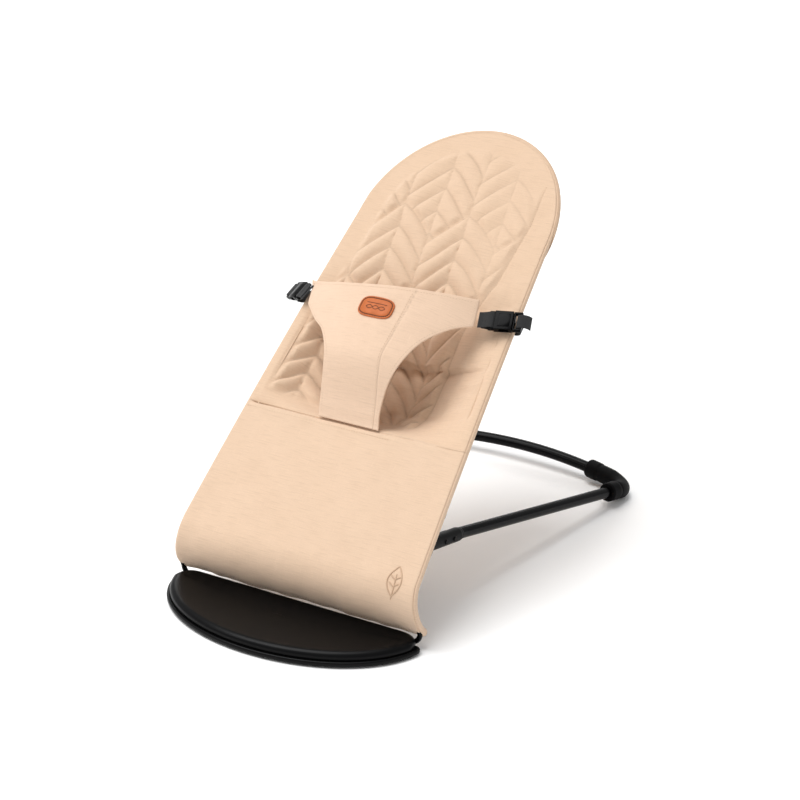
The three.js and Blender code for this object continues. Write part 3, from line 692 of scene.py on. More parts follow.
def pocket_rings(loop_x, loop_s, outward):
    """Rings of points where the cover's edge wraps round the rod, from its top to its underside."""
    rings = []
    for angle in POCKET_ANGLES:
        seam = 0.9 * math.exp(-((math.degrees(angle) - 55) / 5.0) ** 2)
        r = POCKET_R - seam + (0.35 if angle < math.radians(45) else 0)
        reach = r * math.cos(angle)
        drop = (r + (0.8 if angle < 0 else 0)) * math.sin(angle)
        rings.append(seat(loop_x + outward[:, 0] * reach, loop_s + outward[:, 1] * reach, drop))
    for inward, off in ((5.0, -POCKET_R - 0.4), (9.0, -3.4), (12.5, 1.2), (14.0, 1.5)):
        rings.append(seat(loop_x - outward[:, 0] * inward, loop_s - outward[:, 1] * inward, off))
    return rings


def flat_map(x, s):
    return np.stack([x, s], -1).reshape(-1, 2)


def grid_panel(x, s, off):
    """A grid on the seat, as its points, cloth map and faces, ready for rings to be added."""
    return [seat(x, s, off).reshape(-1, 3)], [flat_map(x, s)], grid_faces(*x.shape)


def add_rings(points, flat, faces, loop, rings, outward, step):
    """Carries a loop on in rings, each joined to the one before; step is the cloth used by a ring."""
    total = sum(len(part) for part in points)
    loop_flat = flat[0][loop]
    previous, reach = loop, 0.0
    for ring in rings:
        reach += step
        current = total + np.arange(len(loop))
        total += len(loop)
        points.append(ring)
        flat.append(loop_flat + outward * reach)
        for k in range(len(loop) - 1):
            faces.append((previous[k], previous[k + 1], current[k + 1], current[k]))
        previous = current


def thicken(obj, thickness, offset):
    solidify = obj.modifiers.new("cloth", "SOLIDIFY")
    solidify.thickness = thickness * MM
    solidify.offset = offset


def wrapped_panel(panel, loops, material, replaces):
    """A grid panel whose outer loops of points carry on round the rod."""
    name, x, s, off, groove = panel
    points, flat, faces = grid_panel(x, s, off)
    for loop, outward in loops:
        index = np.array([j * x.shape[1] + i for j, i in loop])
        rings = pocket_rings(x.ravel()[index], s.ravel()[index], outward)
        add_rings(points, flat, faces, index, rings, outward, POCKET_STEP)
    points, flat = np.vstack(points), np.vstack(flat)
    depth = np.zeros(len(points))
    depth[: groove.size] = groove.ravel()
    obj = add_piece(name, points, faces, "seat_frame", material, replaces, flat, CLOTH_FOLD, depth,
                    consistent=True)
    thicken(obj, COVER_CLOTH, -1.0)
    return obj


ROLL_RISE, TUCK_DEPTH = 1.6, 4.2
HEM_TURN = 11.0


def leg_cover():
    rows, columns = 118, 161
    v, u = np.meshgrid(np.linspace(0, 1, rows), np.linspace(-1, 1, columns), indexing="ij")
    s = HEM_S + (CROTCH_S + 1.5 - HEM_S) * v
    x = u * half_width(s)
    off, groove = cover_off(x, s, quilted=False)
    open_side = np.interp(x, [20, 80, 120], [1.0, 0.45, 0.12])
    tuck = ease((s - CROTCH_S + 5) / 5)
    rim = half_width(s) - np.abs(x)
    shadow_side = np.interp(x, [-60, 60, 170], [1.0, 0.75, 0.35])
    roll = ROLL_RISE * shadow_side * ease((s - CROTCH_S + 22) / 18) * (1 - tuck)
    off = off + (roll - TUCK_DEPTH * tuck) * ease(rim / 9) * open_side
    hem = np.exp(-((s - HEM_S - HEM_TURN) / 1.6) ** 2) * 0.9
    off = off - hem - 2.2 * ease((HEM_S + 3 - s) / 3)
    order = [(j, 0) for j in range(rows)]
    outward = np.tile([-1.0, 0.0], (rows, 1))
    order_right = [(j, columns - 1) for j in range(rows)]
    sides = [(order, outward), (order_right, -outward)]
    obj = wrapped_panel(("leg_cover", x, s, off, groove), sides, CANVAS, ["leg_panel"])
    return obj


def seat_grid(start, straight_rows, arch_rows, columns):
    """x and s over the seat from a height up to the head arch, and the loop round its outer edge."""
    p = np.linspace(-1, 1, columns)
    s_rows = np.linspace(start, SHOULDER_S, straight_rows, endpoint=False)
    x_low = p[None, :] * half_width(s_rows)[:, None]
    s_low = np.broadcast_to(s_rows[:, None], x_low.shape)
    q = np.linspace(0, 1, arch_rows)[:, None]
    x_high = HALF_HIGH * p[None, :] * np.sqrt(1 - q * q / 2)
    s_high = SHOULDER_S + ARCH_RISE * q * np.sqrt(1 - p[None, :] ** 2 / 2)
    x, s = np.vstack([x_low, x_high]), np.vstack([s_low, s_high])
    rows = len(x)
    loop = [(j, 0) for j in range(rows)]
    loop += [(rows - 1, i) for i in range(1, columns)]
    loop += [(j, columns - 1) for j in reversed(range(rows - 1))]
    lx = np.array([x[j, i] for j, i in loop])
    ls = np.array([s[j, i] for j, i in loop])
    tangent = np.stack([np.gradient(lx), np.gradient(ls)], -1)
    outward = np.stack([-tangent[:, 1], tangent[:, 0]], -1)
    outward /= np.linalg.norm(outward, axis=1, keepdims=True)
    return x, s, loop, outward


def seat_cover():
    x, s, loop, outward = seat_grid(CROTCH_S - 0.5, 150, 74, 161)
    off, groove = cover_off(x, s)
    start = ease((s - CROTCH_S + 1) / 9)
    start = start + (1 - start) * ease((x - 20) / 100) * 0.85
    off = off - 2.6 * (1 - start) * ease((half_width(np.minimum(s, SHOULDER_S)) - np.abs(x)) / 9)
    panel = ("seat_cover", x, s, off, groove)
    obj = wrapped_panel(panel, [(loop, outward)], QUILT, ["seat_pouch", "back_rest"])
    return obj


def back_panel():
    """The panel behind the head and shoulders, drawn tight over the rod from behind."""
    x, s, loop, outward = seat_grid(POUCH_TOP_S + 40, 30, 60, 121)
    rim = rim_distance(x, s)
    off = -POCKET_R - 1.6 - 0.4 * ease(rim / 30) + 0.5 * noise(x, s, 40)
    hem = np.exp(-((s - POUCH_TOP_S - 52) / 1.6) ** 2) * 0.8
    points, flat, faces = grid_panel(x, s, off + hem)
    index = np.array([j * x.shape[1] + i for j, i in loop])
    lx, ls = x.ravel()[index], s.ravel()[index]
    rings = []
    for angle in np.radians([-80, -65, -50, -36, -24, -12, 0, 12, 22]):
        opened = ease((ls - POUCH_TOP_S - 40) / 70)
        angle = math.radians(-88) * (1 - opened) + angle * opened
        r = POCKET_R + 1.5 - 0.8 * ease((np.degrees(angle) + 20) / 40)
        out = r * np.cos(angle)
        rings.append(seat(lx + outward[:, 0] * out, ls + outward[:, 1] * out, r * np.sin(angle)))
    add_rings(points, flat, faces, index, rings, outward, BACKING_STEP)
    obj = add_piece("back_panel", np.vstack(points), faces, "seat_frame", BACKING, ["rear_panel"],
                    np.vstack(flat), CLOTH_FOLD, consistent=True)
    thicken(obj, BACKING_CLOTH, 0.0)
    return obj


def emblem():
    """A small embroidered sprig, in thread of the cover's own colour, low on the leg panel."""
    build = Build()
    strokes = []
    t = np.linspace(0, 1, 24)
    cx, cs = 152.0, -8.0
    for side in (-1, 1):
        bulge = side * 11.5 * np.sin(math.pi * t) * (1 - 0.25 * t)
        strokes.append(np.stack([cx + bulge, cs - 19 + 38 * t], -1))
    strokes.append(np.stack([cx + 1.5 * np.sin(3 * t), cs - 23 + 31 * t], -1))
    for side in (-1, 1):
        for k in (0.3, 0.52):
            strokes.append(np.stack([cx + side * 7.4 * t, cs - 19 + 38 * k + 6 * t - 1.5 * t * t], -1))
    for stroke in strokes:
        off = cover_off(stroke[:, 0], stroke[:, 1], quilted=False)[0]
        line = seat(stroke[:, 0], stroke[:, 1], off + 0.25)
        radii = 0.95 * np.sqrt(np.clip(1 - (2 * np.linspace(0.02, 0.98, len(line)) - 1) ** 6, 0.1, 1))
        build.tube(line, radii, 8)
    build.piece("leg_emblem", "seat_frame", THREAD_PALE, "canvas")


def cover_stitching():
    x = np.linspace(-176, 176, 200)
    s = np.full(200, HEM_S + HEM_TURN)
    stitches([seat(x, s, cover_off(x, s, False)[0] - 0.4)], "stitching_hem", "seat_frame")
    s = np.linspace(212, 596, 260)
    x = quilt_edge(s) + 1.5
    patch = seat(x, s, cover_off(x, s)[0] + 0.15)
    s = np.full(200, CROTCH_S - 9.0)
    x = np.linspace(-168, 60, 200)
    crotch = seat(x, s, cover_off(x, s, False)[0] + 1.15)
    stitches([patch, crotch], "stitching_seat", "seat_frame")


# ---- the front plate ----
def plate_outline(half, depth, rear, corner_x, start, notch=None):
    """A half-ellipse to the front and a straight rear edge with rounded or stepped corners."""
    arc = np.linspace(math.pi - start, start, 150)
    front = np.stack([half * np.cos(arc), -depth * np.sin(arc)], -1)
    if notch is None:
        corner = [(corner_x, rear)]
        control = (half - 4, rear)
        t = np.linspace(0, 1, 14)[1:-1, None]
        right = (1 - t) ** 2 * front[-1] + 2 * t * (1 - t) * np.array(control) + t**2 * np.array(corner[0])
        right = np.vstack([right, corner])
    else:
        right = rounded_polygon(np.array([front[-1], (half - 0.4, notch[1]), notch, (notch[0], rear)]), 10.5)
        right = right[1:]
        right = np.vstack([right, [[notch[0] - 6, rear]]])
    left = right[::-1] * [-1, 1]
    rear_line = np.stack([np.linspace(right[-1, 0], left[0, 0], 60)[1:-1], np.full(58, rear)], -1)
    return np.vstack([front, right, rear_line, left])


def rounded_polygon(points, r):
    out = [points[0]]
    for before, here, after in zip(points[:-2], points[1:-1], points[2:]):
        a = here + (before - here) / np.linalg.norm(before - here) * r
        b = here + (after - here) / np.linalg.norm(after - here) * r
        t = np.linspace(0, 1, 7)[:, None]
        out.extend((1 - t) ** 2 * a + 2 * t * (1 - t) * here + t**2 * b)
    out.append(points[-1])
    return np.array(out)


def inset(outline, by):
    closed = np.vstack([outline[-1:], outline, outline[:1]])
    tangent = closed[2:] - closed[:-2]
    tangent /= np.linalg.norm(tangent, axis=1, keepdims=True)
    return outline + np.stack([-tangent[:, 1], tangent[:, 0]], -1) * by


def stacked(outline, levels, close_centre=(0, -50)):
    """Rings of one outline at (inset, z) levels, with its top filled towards a centre."""
    outline = outline if area_of(outline) > 0 else outline[::-1]
    count = len(outline)
    points, faces = [], []
    for by, z in levels:
        ring = inset(outline, by)
        points.append(np.column_stack([ring, np.full(count, z)]))
    top_ring = points[-1]
    centre = np.array([*close_centre, top_ring[0, 2]])
    for share in (0.985, 0.96, 0.9, 0.8, 0.66, 0.5, 0.34, 0.18, 0.06):
        points.append(centre + (top_ring - centre) * [share, share, 1])
    rings = len(points)
    points = np.vstack(points)
    faces = grid_faces(rings, count, wrap=True)
    faces.append(tuple((rings - 1) * count + i for i in range(count)))
    faces.append(tuple(reversed(range(count))))
    return points, faces


def area_of(outline):
    x, y = outline[:, 0], outline[:, 1]
    return 0.5 * float(np.sum(x * np.roll(y, -1) - np.roll(x, -1) * y))


def front_plate():
    flange = plate_outline(196, 130, 6, 0, 0.17, notch=(166.5, -8.5))
    levels = [(1.4, 2.3), (0.5, 2.8), (0, 3.8), (0, 6.6), (0.3, 7.8), (1.0, 8.7), (2.0, 9.0), (3.4, 9.0),
              (3.8, 8.7)]
    points, faces = stacked(flange, levels)
    build = Build().extend(points, faces)
    crown = plate_outline(194, 127.5, 4.5, 158, 0.2)
    arc = [(2.0 + 8.5 * (1 - math.cos(a)), 12.4 + 7.6 * math.sin(a)) for a in np.linspace(0, math.pi / 2, 14)]
    levels = [(2.8, 8.4), (2.3, 9.6), (2.0, 10.8), *arc, (12.6, 20.0), (15.0, 19.95), (18.0, 19.9)]
    points, faces = stacked(crown, levels)
    build.extend(points, faces)
    build.piece("plate_shell", "front_plate", PLATE, "black_plastic", ["plate_top"], sharp=math.radians(50))
    tread_outline = plate_outline(192, 126, 2, 156, 0.2)
    points, faces = stacked(tread_outline, [(6.4, 0.0), (5.0, 0.5), (4.4, 1.2), (4.6, 1.9)])
    tread = Build().extend(points, faces)
    tread.piece("tread_ring", "front_plate", RUBBER, "rubber", ["plate_tread"])


# ---- the sprung rod ----
def rod_route():
    corner = 14.0
    side = [(x, BAR_Y, BAR_Z) for x in np.linspace(0.3, BAR_HALF - corner, 12)[:-1]]
    for a in np.linspace(0, math.pi / 2, 9):
        side.append((BAR_HALF - corner + corner * math.sin(a), BAR_Y, BAR_Z + corner * (1 - math.cos(a))))
    for stretch in (np.arange(-60, 0, 3), np.linspace(0, SHOULDER_S, 60, endpoint=False)):
        side += [seat(half_width(s), s) for s in stretch]
    for a in np.linspace(0, math.pi / 2, 60, endpoint=False):
        side.append(seat(HALF_HIGH * math.cos(a), SHOULDER_S + ARCH_RISE * math.sin(a)))
    return both_sides([*side, seat(0, SHOULDER_S + ARCH_RISE)])


def painted_tube(name, line, radius, sides, body, material, node):
    points, faces = tube_mesh(line, radius, sides)
    add_piece(name, points, faces, body, material, [node])


def seat_rod():
    painted_tube("rod_loop", rod_route(), ROD_R, 18, "seat_frame", WIRE, "seat_frame_rod")


# ---- the base ----
PIVOT = seat(0, PIVOT_S, PIVOT_OFF)
PROP_HINGE = seat(0, PIVOT_S + PROP_ARM, PIVOT_OFF)
BASE_DROP = math.atan2(PIVOT[2] - TUBE_REAR_Z, TUBE_REAR_Y - PIVOT[1])
BASE_LENGTH = math.hypot(PIVOT[2] - TUBE_REAR_Z, TUBE_REAR_Y - PIVOT[1])
BEND_START = BASE_LENGTH - CORNER_R
BEND_END = 1 - CORNER_R / TUBE_REAR_X


def along_base(x, distance, lift=0.0):
    y = PIVOT[1] + distance * math.cos(BASE_DROP) + lift * math.sin(BASE_DROP)
    z = PIVOT[2] - distance * math.sin(BASE_DROP) + lift * math.cos(BASE_DROP)
    return np.array([x, y, z])


def side_x(distance):
    spread = (distance - SLEEVE_LENGTH - 6) / (BASE_LENGTH - SLEEVE_LENGTH - 6)
    return TUBE_FRONT_X + (TUBE_REAR_X - TUBE_FRONT_X) * max(spread, 0)


def cross_tube(fraction):
    bow = 1 - fraction * fraction
    return np.array([TUBE_REAR_X * fraction, TUBE_REAR_Y + TUBE_BOW_Y * bow, TUBE_REAR_Z + TUBE_BOW_Z * bow])


def rear_corner(steps=18):
    start, end = along_base(side_x(BEND_START), BEND_START), cross_tube(BEND_END)
    corner = np.array([TUBE_REAR_X, TUBE_REAR_Y, TUBE_REAR_Z - CORNER_DIP])
    return [(1 - t) ** 2 * start + 2 * t * (1 - t) * corner + t * t * end for t in np.linspace(0, 1, steps)]


def base_tube():
    straight = (24, 60, SLEEVE_LENGTH + 4, SLEEVE_LENGTH + 12, SLEEVE_LENGTH + 22)
    side = [along_base(side_x(d), d) for d in straight]
    side += [along_base(side_x(d), d) for d in np.linspace(SLEEVE_LENGTH + 60, BEND_START - 20, 12)]
    side += rear_corner()
    side += [cross_tube(BEND_END * (1 - i / 24)) for i in range(1, 25)]
    painted_tube("base_loop", both_sides(side), TUBE_R, 26, "base_frame", PAINT, "base_tube")


def rear_foot(side, name):
    start = [along_base(side_x(d), d) for d in np.linspace(BEND_START - 26, BEND_START - 1, 12)]
    route = [*start, *rear_corner(22), *[cross_tube(f) for f in np.linspace(BEND_END - 0.01, 0.64, 16)]]
    line = resample(np.array(route), 90) * [side, 1, 1]
    t = np.linspace(0, 1, 90)
    radii = np.full(90, 13.1)
    for low, high, r in ((0.0, 0.16, 13.9), (0.18, 0.2, 12.6), (0.8, 0.82, 12.6), (0.84, 1.0, 13.9)):
        radii = np.where((t >= low) & (t <= high), r, radii)
    radii[0], radii[-1] = 12.2, 12.2
    radii[1], radii[-2] = 13.4, 13.4
    points, faces = tube_mesh(line, radii, 30)
    points[:, 2] = np.maximum(points[:, 2], 0.0)
    build = Build().extend(points, faces)
    build.piece(f"foot_rubber_{name}", "base_frame", RUBBER, "rubber", [f"rear_foot_{name}"],
                sharp=math.radians(42))


def pivot_sleeve(side, name):
    x = side * TUBE_FRONT_X
    line = np.array([along_base(x, d) for d in np.linspace(0, SLEEVE_LENGTH, 60)])
    t = np.linspace(0, SLEEVE_LENGTH, 60)
    radii = np.full(60, SLEEVE_R)
    radii = np.where(t > SLEEVE_LENGTH - 6, SLEEVE_R - 0.9, radii)
    radii = np.where(np.abs(t - 20) < 1.5, SLEEVE_R - 0.5, radii)
    radii[-1] = SLEEVE_R - 1.5
    build = Build().tube(line, radii, 28)
    r, w = SLEEVE_R + 1.4, SLEEVE_R - 0.2
    barrel = both_ends([(r, w - 1.4), (r - 0.4, w - 0.4), (r - 1.4, w)])
    build.lathe(barrel, (x, PIVOT[1], PIVOT[2]), (1, 0, 0), 36)
    build.piece(f"sleeve_moulding_{name}", "base_frame", MOULDED, "black_plastic", [f"pivot_sleeve_{name}"],
                sharp=math.radians(42))


def rack():
    """The ladder that the prop's foot drops into, with ribs underneath."""
    half = TUBE_FRONT_X - SLEEVE_R - 0.3
    build = Build()
    floor = -14.5
    build.box((2 * half, 58, 4.6), (0, 59, floor), 1.4, 3)
    for side in (-1, 1):
        build.box((3.4, 57, 18), (side * (half - 1.8), 59, -4.6), 1.2, 2)
    tooth_side = ((2.6, floor), (7.7, floor), (7.4, -5.9), (6.6, -5.5), (5.6, -5.7))
    for notch in (FIRST_NOTCH, 69, 78):
        for x in (-96, -32, 32, 96):
            tooth = [(notch + y, z) for y, z in tooth_side]
            build.prism(tooth, x - 13, x + 13, 0.4, 1, axis=0)
    for y in np.arange(36, 86, 8):
        build.box((2 * half - 14, 1.6, 3.0), (0, y, floor - 3.2), 0.5, 1)
    build.piece("rack_moulding", "base_frame", MOULDED, "black_plastic", ["prop_rack"],
                (turned("X", -BASE_DROP), PIVOT))


def prop():
    foot = along_base(0, FIRST_NOTCH)
    reach = float(np.linalg.norm(foot - PROP_HINGE))
    down = (foot - PROP_HINGE) / reach
    bend = 7.0

    def at(x, drop):
        return (PROP_HINGE + down * drop) * [0, 1, 1] + [x, 0, 0]

    side = [at(x, 0) for x in np.linspace(PROP_X + 22, PROP_X + bend + 1, 6)]
    quarter = np.linspace(0, math.pi / 2, 10)
    side += [at(PROP_X + bend - bend * math.sin(a), bend - bend * math.cos(a)) for a in quarter]
    side += [at(PROP_X, d) for d in np.linspace(bend + 2, reach - bend - 2, 6)]
    side += [at(PROP_X - bend + bend * math.cos(a), reach - bend + bend * math.sin(a)) for a in quarter]
    side += [at(x, reach) for x in np.linspace(PROP_X - bend - 6, 0, 12)]
    painted_tube("prop_rod", both_sides(side), PROP_R, 18, "prop", WIRE, "prop_wire")
    half = PROP_X - bend - 4
    grip_end = [(4.3, half - 6.6), (4.6, half - 6), (4.6, half - 1.0), (4.2, half - 0.3), (3.4, half)]
    grip = Build().lathe(both_ends(grip_end), tuple(at(0, reach)), (1, 0, 0), 24)
    grip.piece("prop_grip", "prop", MOULDED, "black_plastic", ["prop_foot_sleeve"])


def rail_clamps(side, name):
    """The moulded bracket that carries the base and the smaller clip that carries the prop."""
    taper = math.atan((HALF_LOW - HALF_HIGH) / SHOULDER_S) * side
    clip_s = PIVOT_S + PROP_ARM
    bracket_reach = half_width(PIVOT_S) - TUBE_FRONT_X + SLEEVE_R + 1.5
    clip_reach = half_width(clip_s) - PROP_X - 12
    for s, length, r, reach, label, replaced, pin, stem in (
        (PIVOT_S, 22.0, 7.4, bracket_reach, "bracket", "pivot_bracket", 4.0, 6.0),
        (clip_s, 14.0, 7.2, clip_reach, "clip", "prop_clip", 4.4, 5.6),
    ):
        angles = np.radians(np.linspace(-200, -72, 24))
        outer = [(side * r * math.cos(a), r * math.sin(a)) for a in angles]
        inner = [(side * (r - 1.5) * math.cos(a), (r - 1.5) * math.sin(a)) for a in reversed(angles)]
        build = Build()
        build.prism(outer + inner, -length / 2, length / 2, 0.35, 1, axis=1)
        build.box((6, length * 0.62, stem), (-side * 1.5, 0, PIVOT_OFF + 1.4), 1.0, 2)
        profile = [(pin - 0.6, 0.5), (pin, 1.1), (pin, reach - 0.8), (pin - 0.7, reach)]
        build.lathe(profile, (0, 0, PIVOT_OFF), (-side, 0, 0), 24)
        profile = [(pin + 0.4, 0.6), (pin + 1.0, 1.2), (pin + 1.0, 3.4), (pin + 0.4, 4.0)]
        build.lathe(profile, (0, 0, PIVOT_OFF), (-side, 0, 0), 28)
        rotation = turned("X", SLOPE - RAIL_BOW * s)
        build.piece(f"rail_{label}_{name}", "seat_frame", MOULDED, "black_plastic", [f"{replaced}_{name}"],
                    (rotation @ turned("Z", taper), seat(side * half_width(s), s, 0)))


# ---- the harness ----
FLAP_LEFT = [(-56, 182), (-60, 213), (-61.5, 237), (-67, 262), (-87, 289), (-112, 307), (-140, 332),
             (-157, 373)]
FLAP_RIGHT = [(38.6, 182), (36, 205), (41, 232), (51, 260), (63, 296), (84, 327), (113, 352), (107, 390)]
FLAP_SAG = 15.0
FLAP_EDGE = 1.5


def flap_off(x, s):
    reach = ease((s - CROTCH_S) / 90)
    half = np.where(x < 0, 150.0, 122.0)
    across = np.clip(np.abs(x) / half, 0, 1)
    return HINGE_OFF + (FLAP_END_OFF - HINGE_OFF) * reach + FLAP_BULGE * reach * (1 - across * across)


def flap_place(u, v):
    """Points of the flap's middle surface, u across and v from the crotch to the top edge."""
    left, right = spline_edge(FLAP_LEFT), spline_edge(FLAP_RIGHT)
    at_left = np.stack([np.interp(v, np.linspace(0, 1, 200), left[:, i]) for i in (0, 1)], -1)
    at_right = np.stack([np.interp(v, np.linspace(0, 1, 200), right[:, i]) for i in (0, 1)], -1)
    place = at_left + (at_right - at_left) * u[..., None]
    return place[..., 0], place[..., 1] - FLAP_SAG * 4 * u * (1 - u) * v**4


def spline_edge(points):
    """200 points along an edge, as many between any two of its own; its last stretch is straight."""
    points = np.asarray(points, float)
    curved = points[:-1]
    padded = with_end_points(curved)
    out = []
    for place in np.linspace(0, len(points) - 1, 200):
        i = min(int(place), len(points) - 2)
        t = place - i
        if i == len(curved) - 1:
            out.append(points[-2] + (points[-1] - points[-2]) * t)
            continue
        out.append(cubic(padded, i, t))
    return np.array(out)


def flap_seam_x(s):
    return np.interp(s, [184, 195, 270, 333, 372], [30, 29, 24, 28, 30])


def flap_height(x, s):
    """The flap's middle surface over the rails, with its soft folds."""
    off = flap_off(x, s) + 1.5 - 4.6 * (1 - ease((s - 180) / 20))
    upper = ease((s - 260) / 70)
    folds = 0.9 * noise(x * 0.5 + s, x - s, 44) + 0.4 * noise(x, s, 17)
    pull_right = 1.3 * np.sin((s - 300 + 0.3 * x) / 9.0) * ease((x - 40) / 50) * ease((s - 290) / 30)
    pull_left = 1.1 * np.sin((s - 300 - 0.35 * x) / 10.0) * ease((-x - 70) / 50) * ease((s - 270) / 40)
    seam = 0.9 * np.exp(-((x - flap_seam_x(s)) / 1.1) ** 2)
    return off + folds * (0.35 + 0.65 * upper) + 0.6 * (pull_right + pull_left) - seam


def harness_flap():
    us = edge_spacing(200, 96, FLAP_EDGE)
    vs = edge_spacing(260, 130, FLAP_EDGE)
    v, u = np.meshgrid(vs / vs[-1], us / us[-1], indexing="ij")
    x, s = flap_place(u, v)
    middle = seat(x, s, flap_height(x, s))
    points, faces = shell(middle, FLAP_CLOTH, FLAP_EDGE, us, vs)
    # painted shade along the flap's seam: the groove mask darkens the flap canvas there
    groove = np.exp(-((x - flap_seam_x(s)) / 0.8) ** 2).ravel()
    flat = np.vstack([flat_map(x, s)] * 2)
    obj = add_piece("flap_cloth", points, faces, "harness", FLAP, ["harness_flap"], flat,
                    CLOTH_FOLD, np.concatenate([groove, groove]))
    lines = []
    for across, inward in ((0.0, 4.0), (1.0, -4.0)):
        x, s = flap_place(np.full(260, across), np.linspace(0.03, 0.985, 260))
        lines.append((x + inward, s))
    x, s = flap_place(np.linspace(0.02, 0.98, 240), np.full(240, 1.0))
    lines.append((x, s - 5))
    s = np.linspace(188, 366, 200)
    lines.append((flap_seam_x(s) - 2.6, s))
    sewn = [seat(x, s, flap_height(x, s) + FLAP_CLOTH / 2) for x, s in lines]
    stitches(sewn, "stitching_flap", "harness")


TAG_X, TAG_S, TAG_W, TAG_H = -14.0, 331.0, 54.0, 31.0


def on_flap(points):
    """Points given as (x, y, lift) from the tag's middle, laid on the flap's curve."""
    points = np.asarray(points, float)
    x, s = TAG_X + points[:, 0], TAG_S + points[:, 1] + points[:, 0] * -0.02
    smooth = flap_off(x, s) + 3.2 + 0.9
    return seat(x, s, smooth + points[:, 2])


def oval(width, height, corner, count=96):
    """A rounded rectangle whose sides bow out a little."""
    t = np.linspace(0, 2 * math.pi, count, endpoint=False)
    c, s = np.cos(t), np.sin(t)
    power = 2 / corner
    across = width / 2 * np.sign(c) * np.abs(c) ** power
    return np.stack([across, height / 2 * np.sign(s) * np.abs(s) ** power], -1)


def leather_tag():
    outline = oval(TAG_W, TAG_H, 3.3)
    rim = [(1.0, -1.0, 0), (1.0, 0.3, 0), (0.988, 0.75, 0), (0.965, 0.9, 0), (0.86, 0.9, 0)]
    channel = [(0.845, 0.6, 0.8), (0.82, 0.35, 1.0), (0.795, 0.35, 1.0), (0.775, 0.6, 0.8), (0.76, 0.95, 0)]
    levels = rim + channel + [(share, 1.0, 0) for share in (0.6, 0.4, 0.2, 0.05)]
    points, groove = [], []
    half = np.array([TAG_W / 2, TAG_H / 2])
    spread = np.linalg.norm(outline / half, axis=1, keepdims=True)
    for share, lift, dark in levels:
        edge = (1 - share) * TAG_H / 2
        ring = np.sign(outline) * np.maximum(np.abs(outline) - edge * np.abs(outline) / spread / half, 0)
        if share < 0.7:
            ring = outline * share
        points.append(np.column_stack([ring, np.full(len(ring), lift)]))
        groove.append(np.full(len(ring), dark))
    count, rings = len(outline), len(levels)
    faces = grid_faces(rings, count, wrap=True)
    faces.append(tuple((rings - 1) * count + i for i in range(count)))
    faces.append(tuple(reversed(range(count))))
    points = np.vstack(points)
    add_piece("tag_leather", on_flap(points), faces, "harness", LEATHER, ["leather_tag"],
              points[:, :2], math.radians(60), np.concatenate(groove))
    motif = Build()
    t = np.linspace(0, 1, 16)
    strokes = []
    for k in (-1, 0, 1):
        for side in (-1, 1):
            strokes.append(np.stack([k * 10 + 5.2 * (2 * t - 1), side * 2.6 * np.sin(math.pi * t) - 1.0], -1))
    strokes.append(np.stack([-16 + 32 * t, np.full(16, 5.2)], -1))
    for stroke in strokes:
        line = on_flap(np.column_stack([stroke, np.full(len(stroke), 1.0)]))
        motif.tube(line, 0.5, 6)
    motif.piece("tag_motif", "harness", THREAD_BROWN, "leather")
    ring = oval(TAG_W * 0.94, TAG_H * 0.9, 3.3, 200)
    ring = np.vstack([ring, ring[:1]])
    seam = on_flap(np.column_stack([ring, np.full(len(ring), 1.0)]))
    stitches([seam], "stitching_tag", "harness", 1.8, 1.1, 0.26, THREAD_BROWN, "leather")


# tilt and rise are in radians; a route is the rail strap's (x, off) at the height strap_s.
BUCKLE_WIDTH, BUCKLE_DEPTH, SOCKET_LENGTH = 29.0, 8.5, 42.0
Buckle = namedtuple("Buckle", "side x s off tilt rise strap_s route")
BUCKLES = {
    "left": Buckle(-1, -156.0, 353.0, 17.0, -0.61, -0.28, 362.0,
                   [(188, -18), (180, -18), (170, -14), (160, -9.5), (148, -9.5)]),
    "right": Buckle(1, 119.6, 365.0, 21.0, 0.18, 0.26, 378.0,
                    [(163, 7.5), (167.5, 3), (167, -4), (160, -8.5), (148, -9.5)]),
}


def buckle_frame(name):
    place = BUCKLES[name]
    turn = place.tilt + (math.pi if place.side < 0 else 0)
    rotation = turned("X", SLOPE - RAIL_BOW * place.s) @ turned("Z", place.rise) @ turned("Y", turn)
    return rotation, seat(place.x, place.s, place.off)


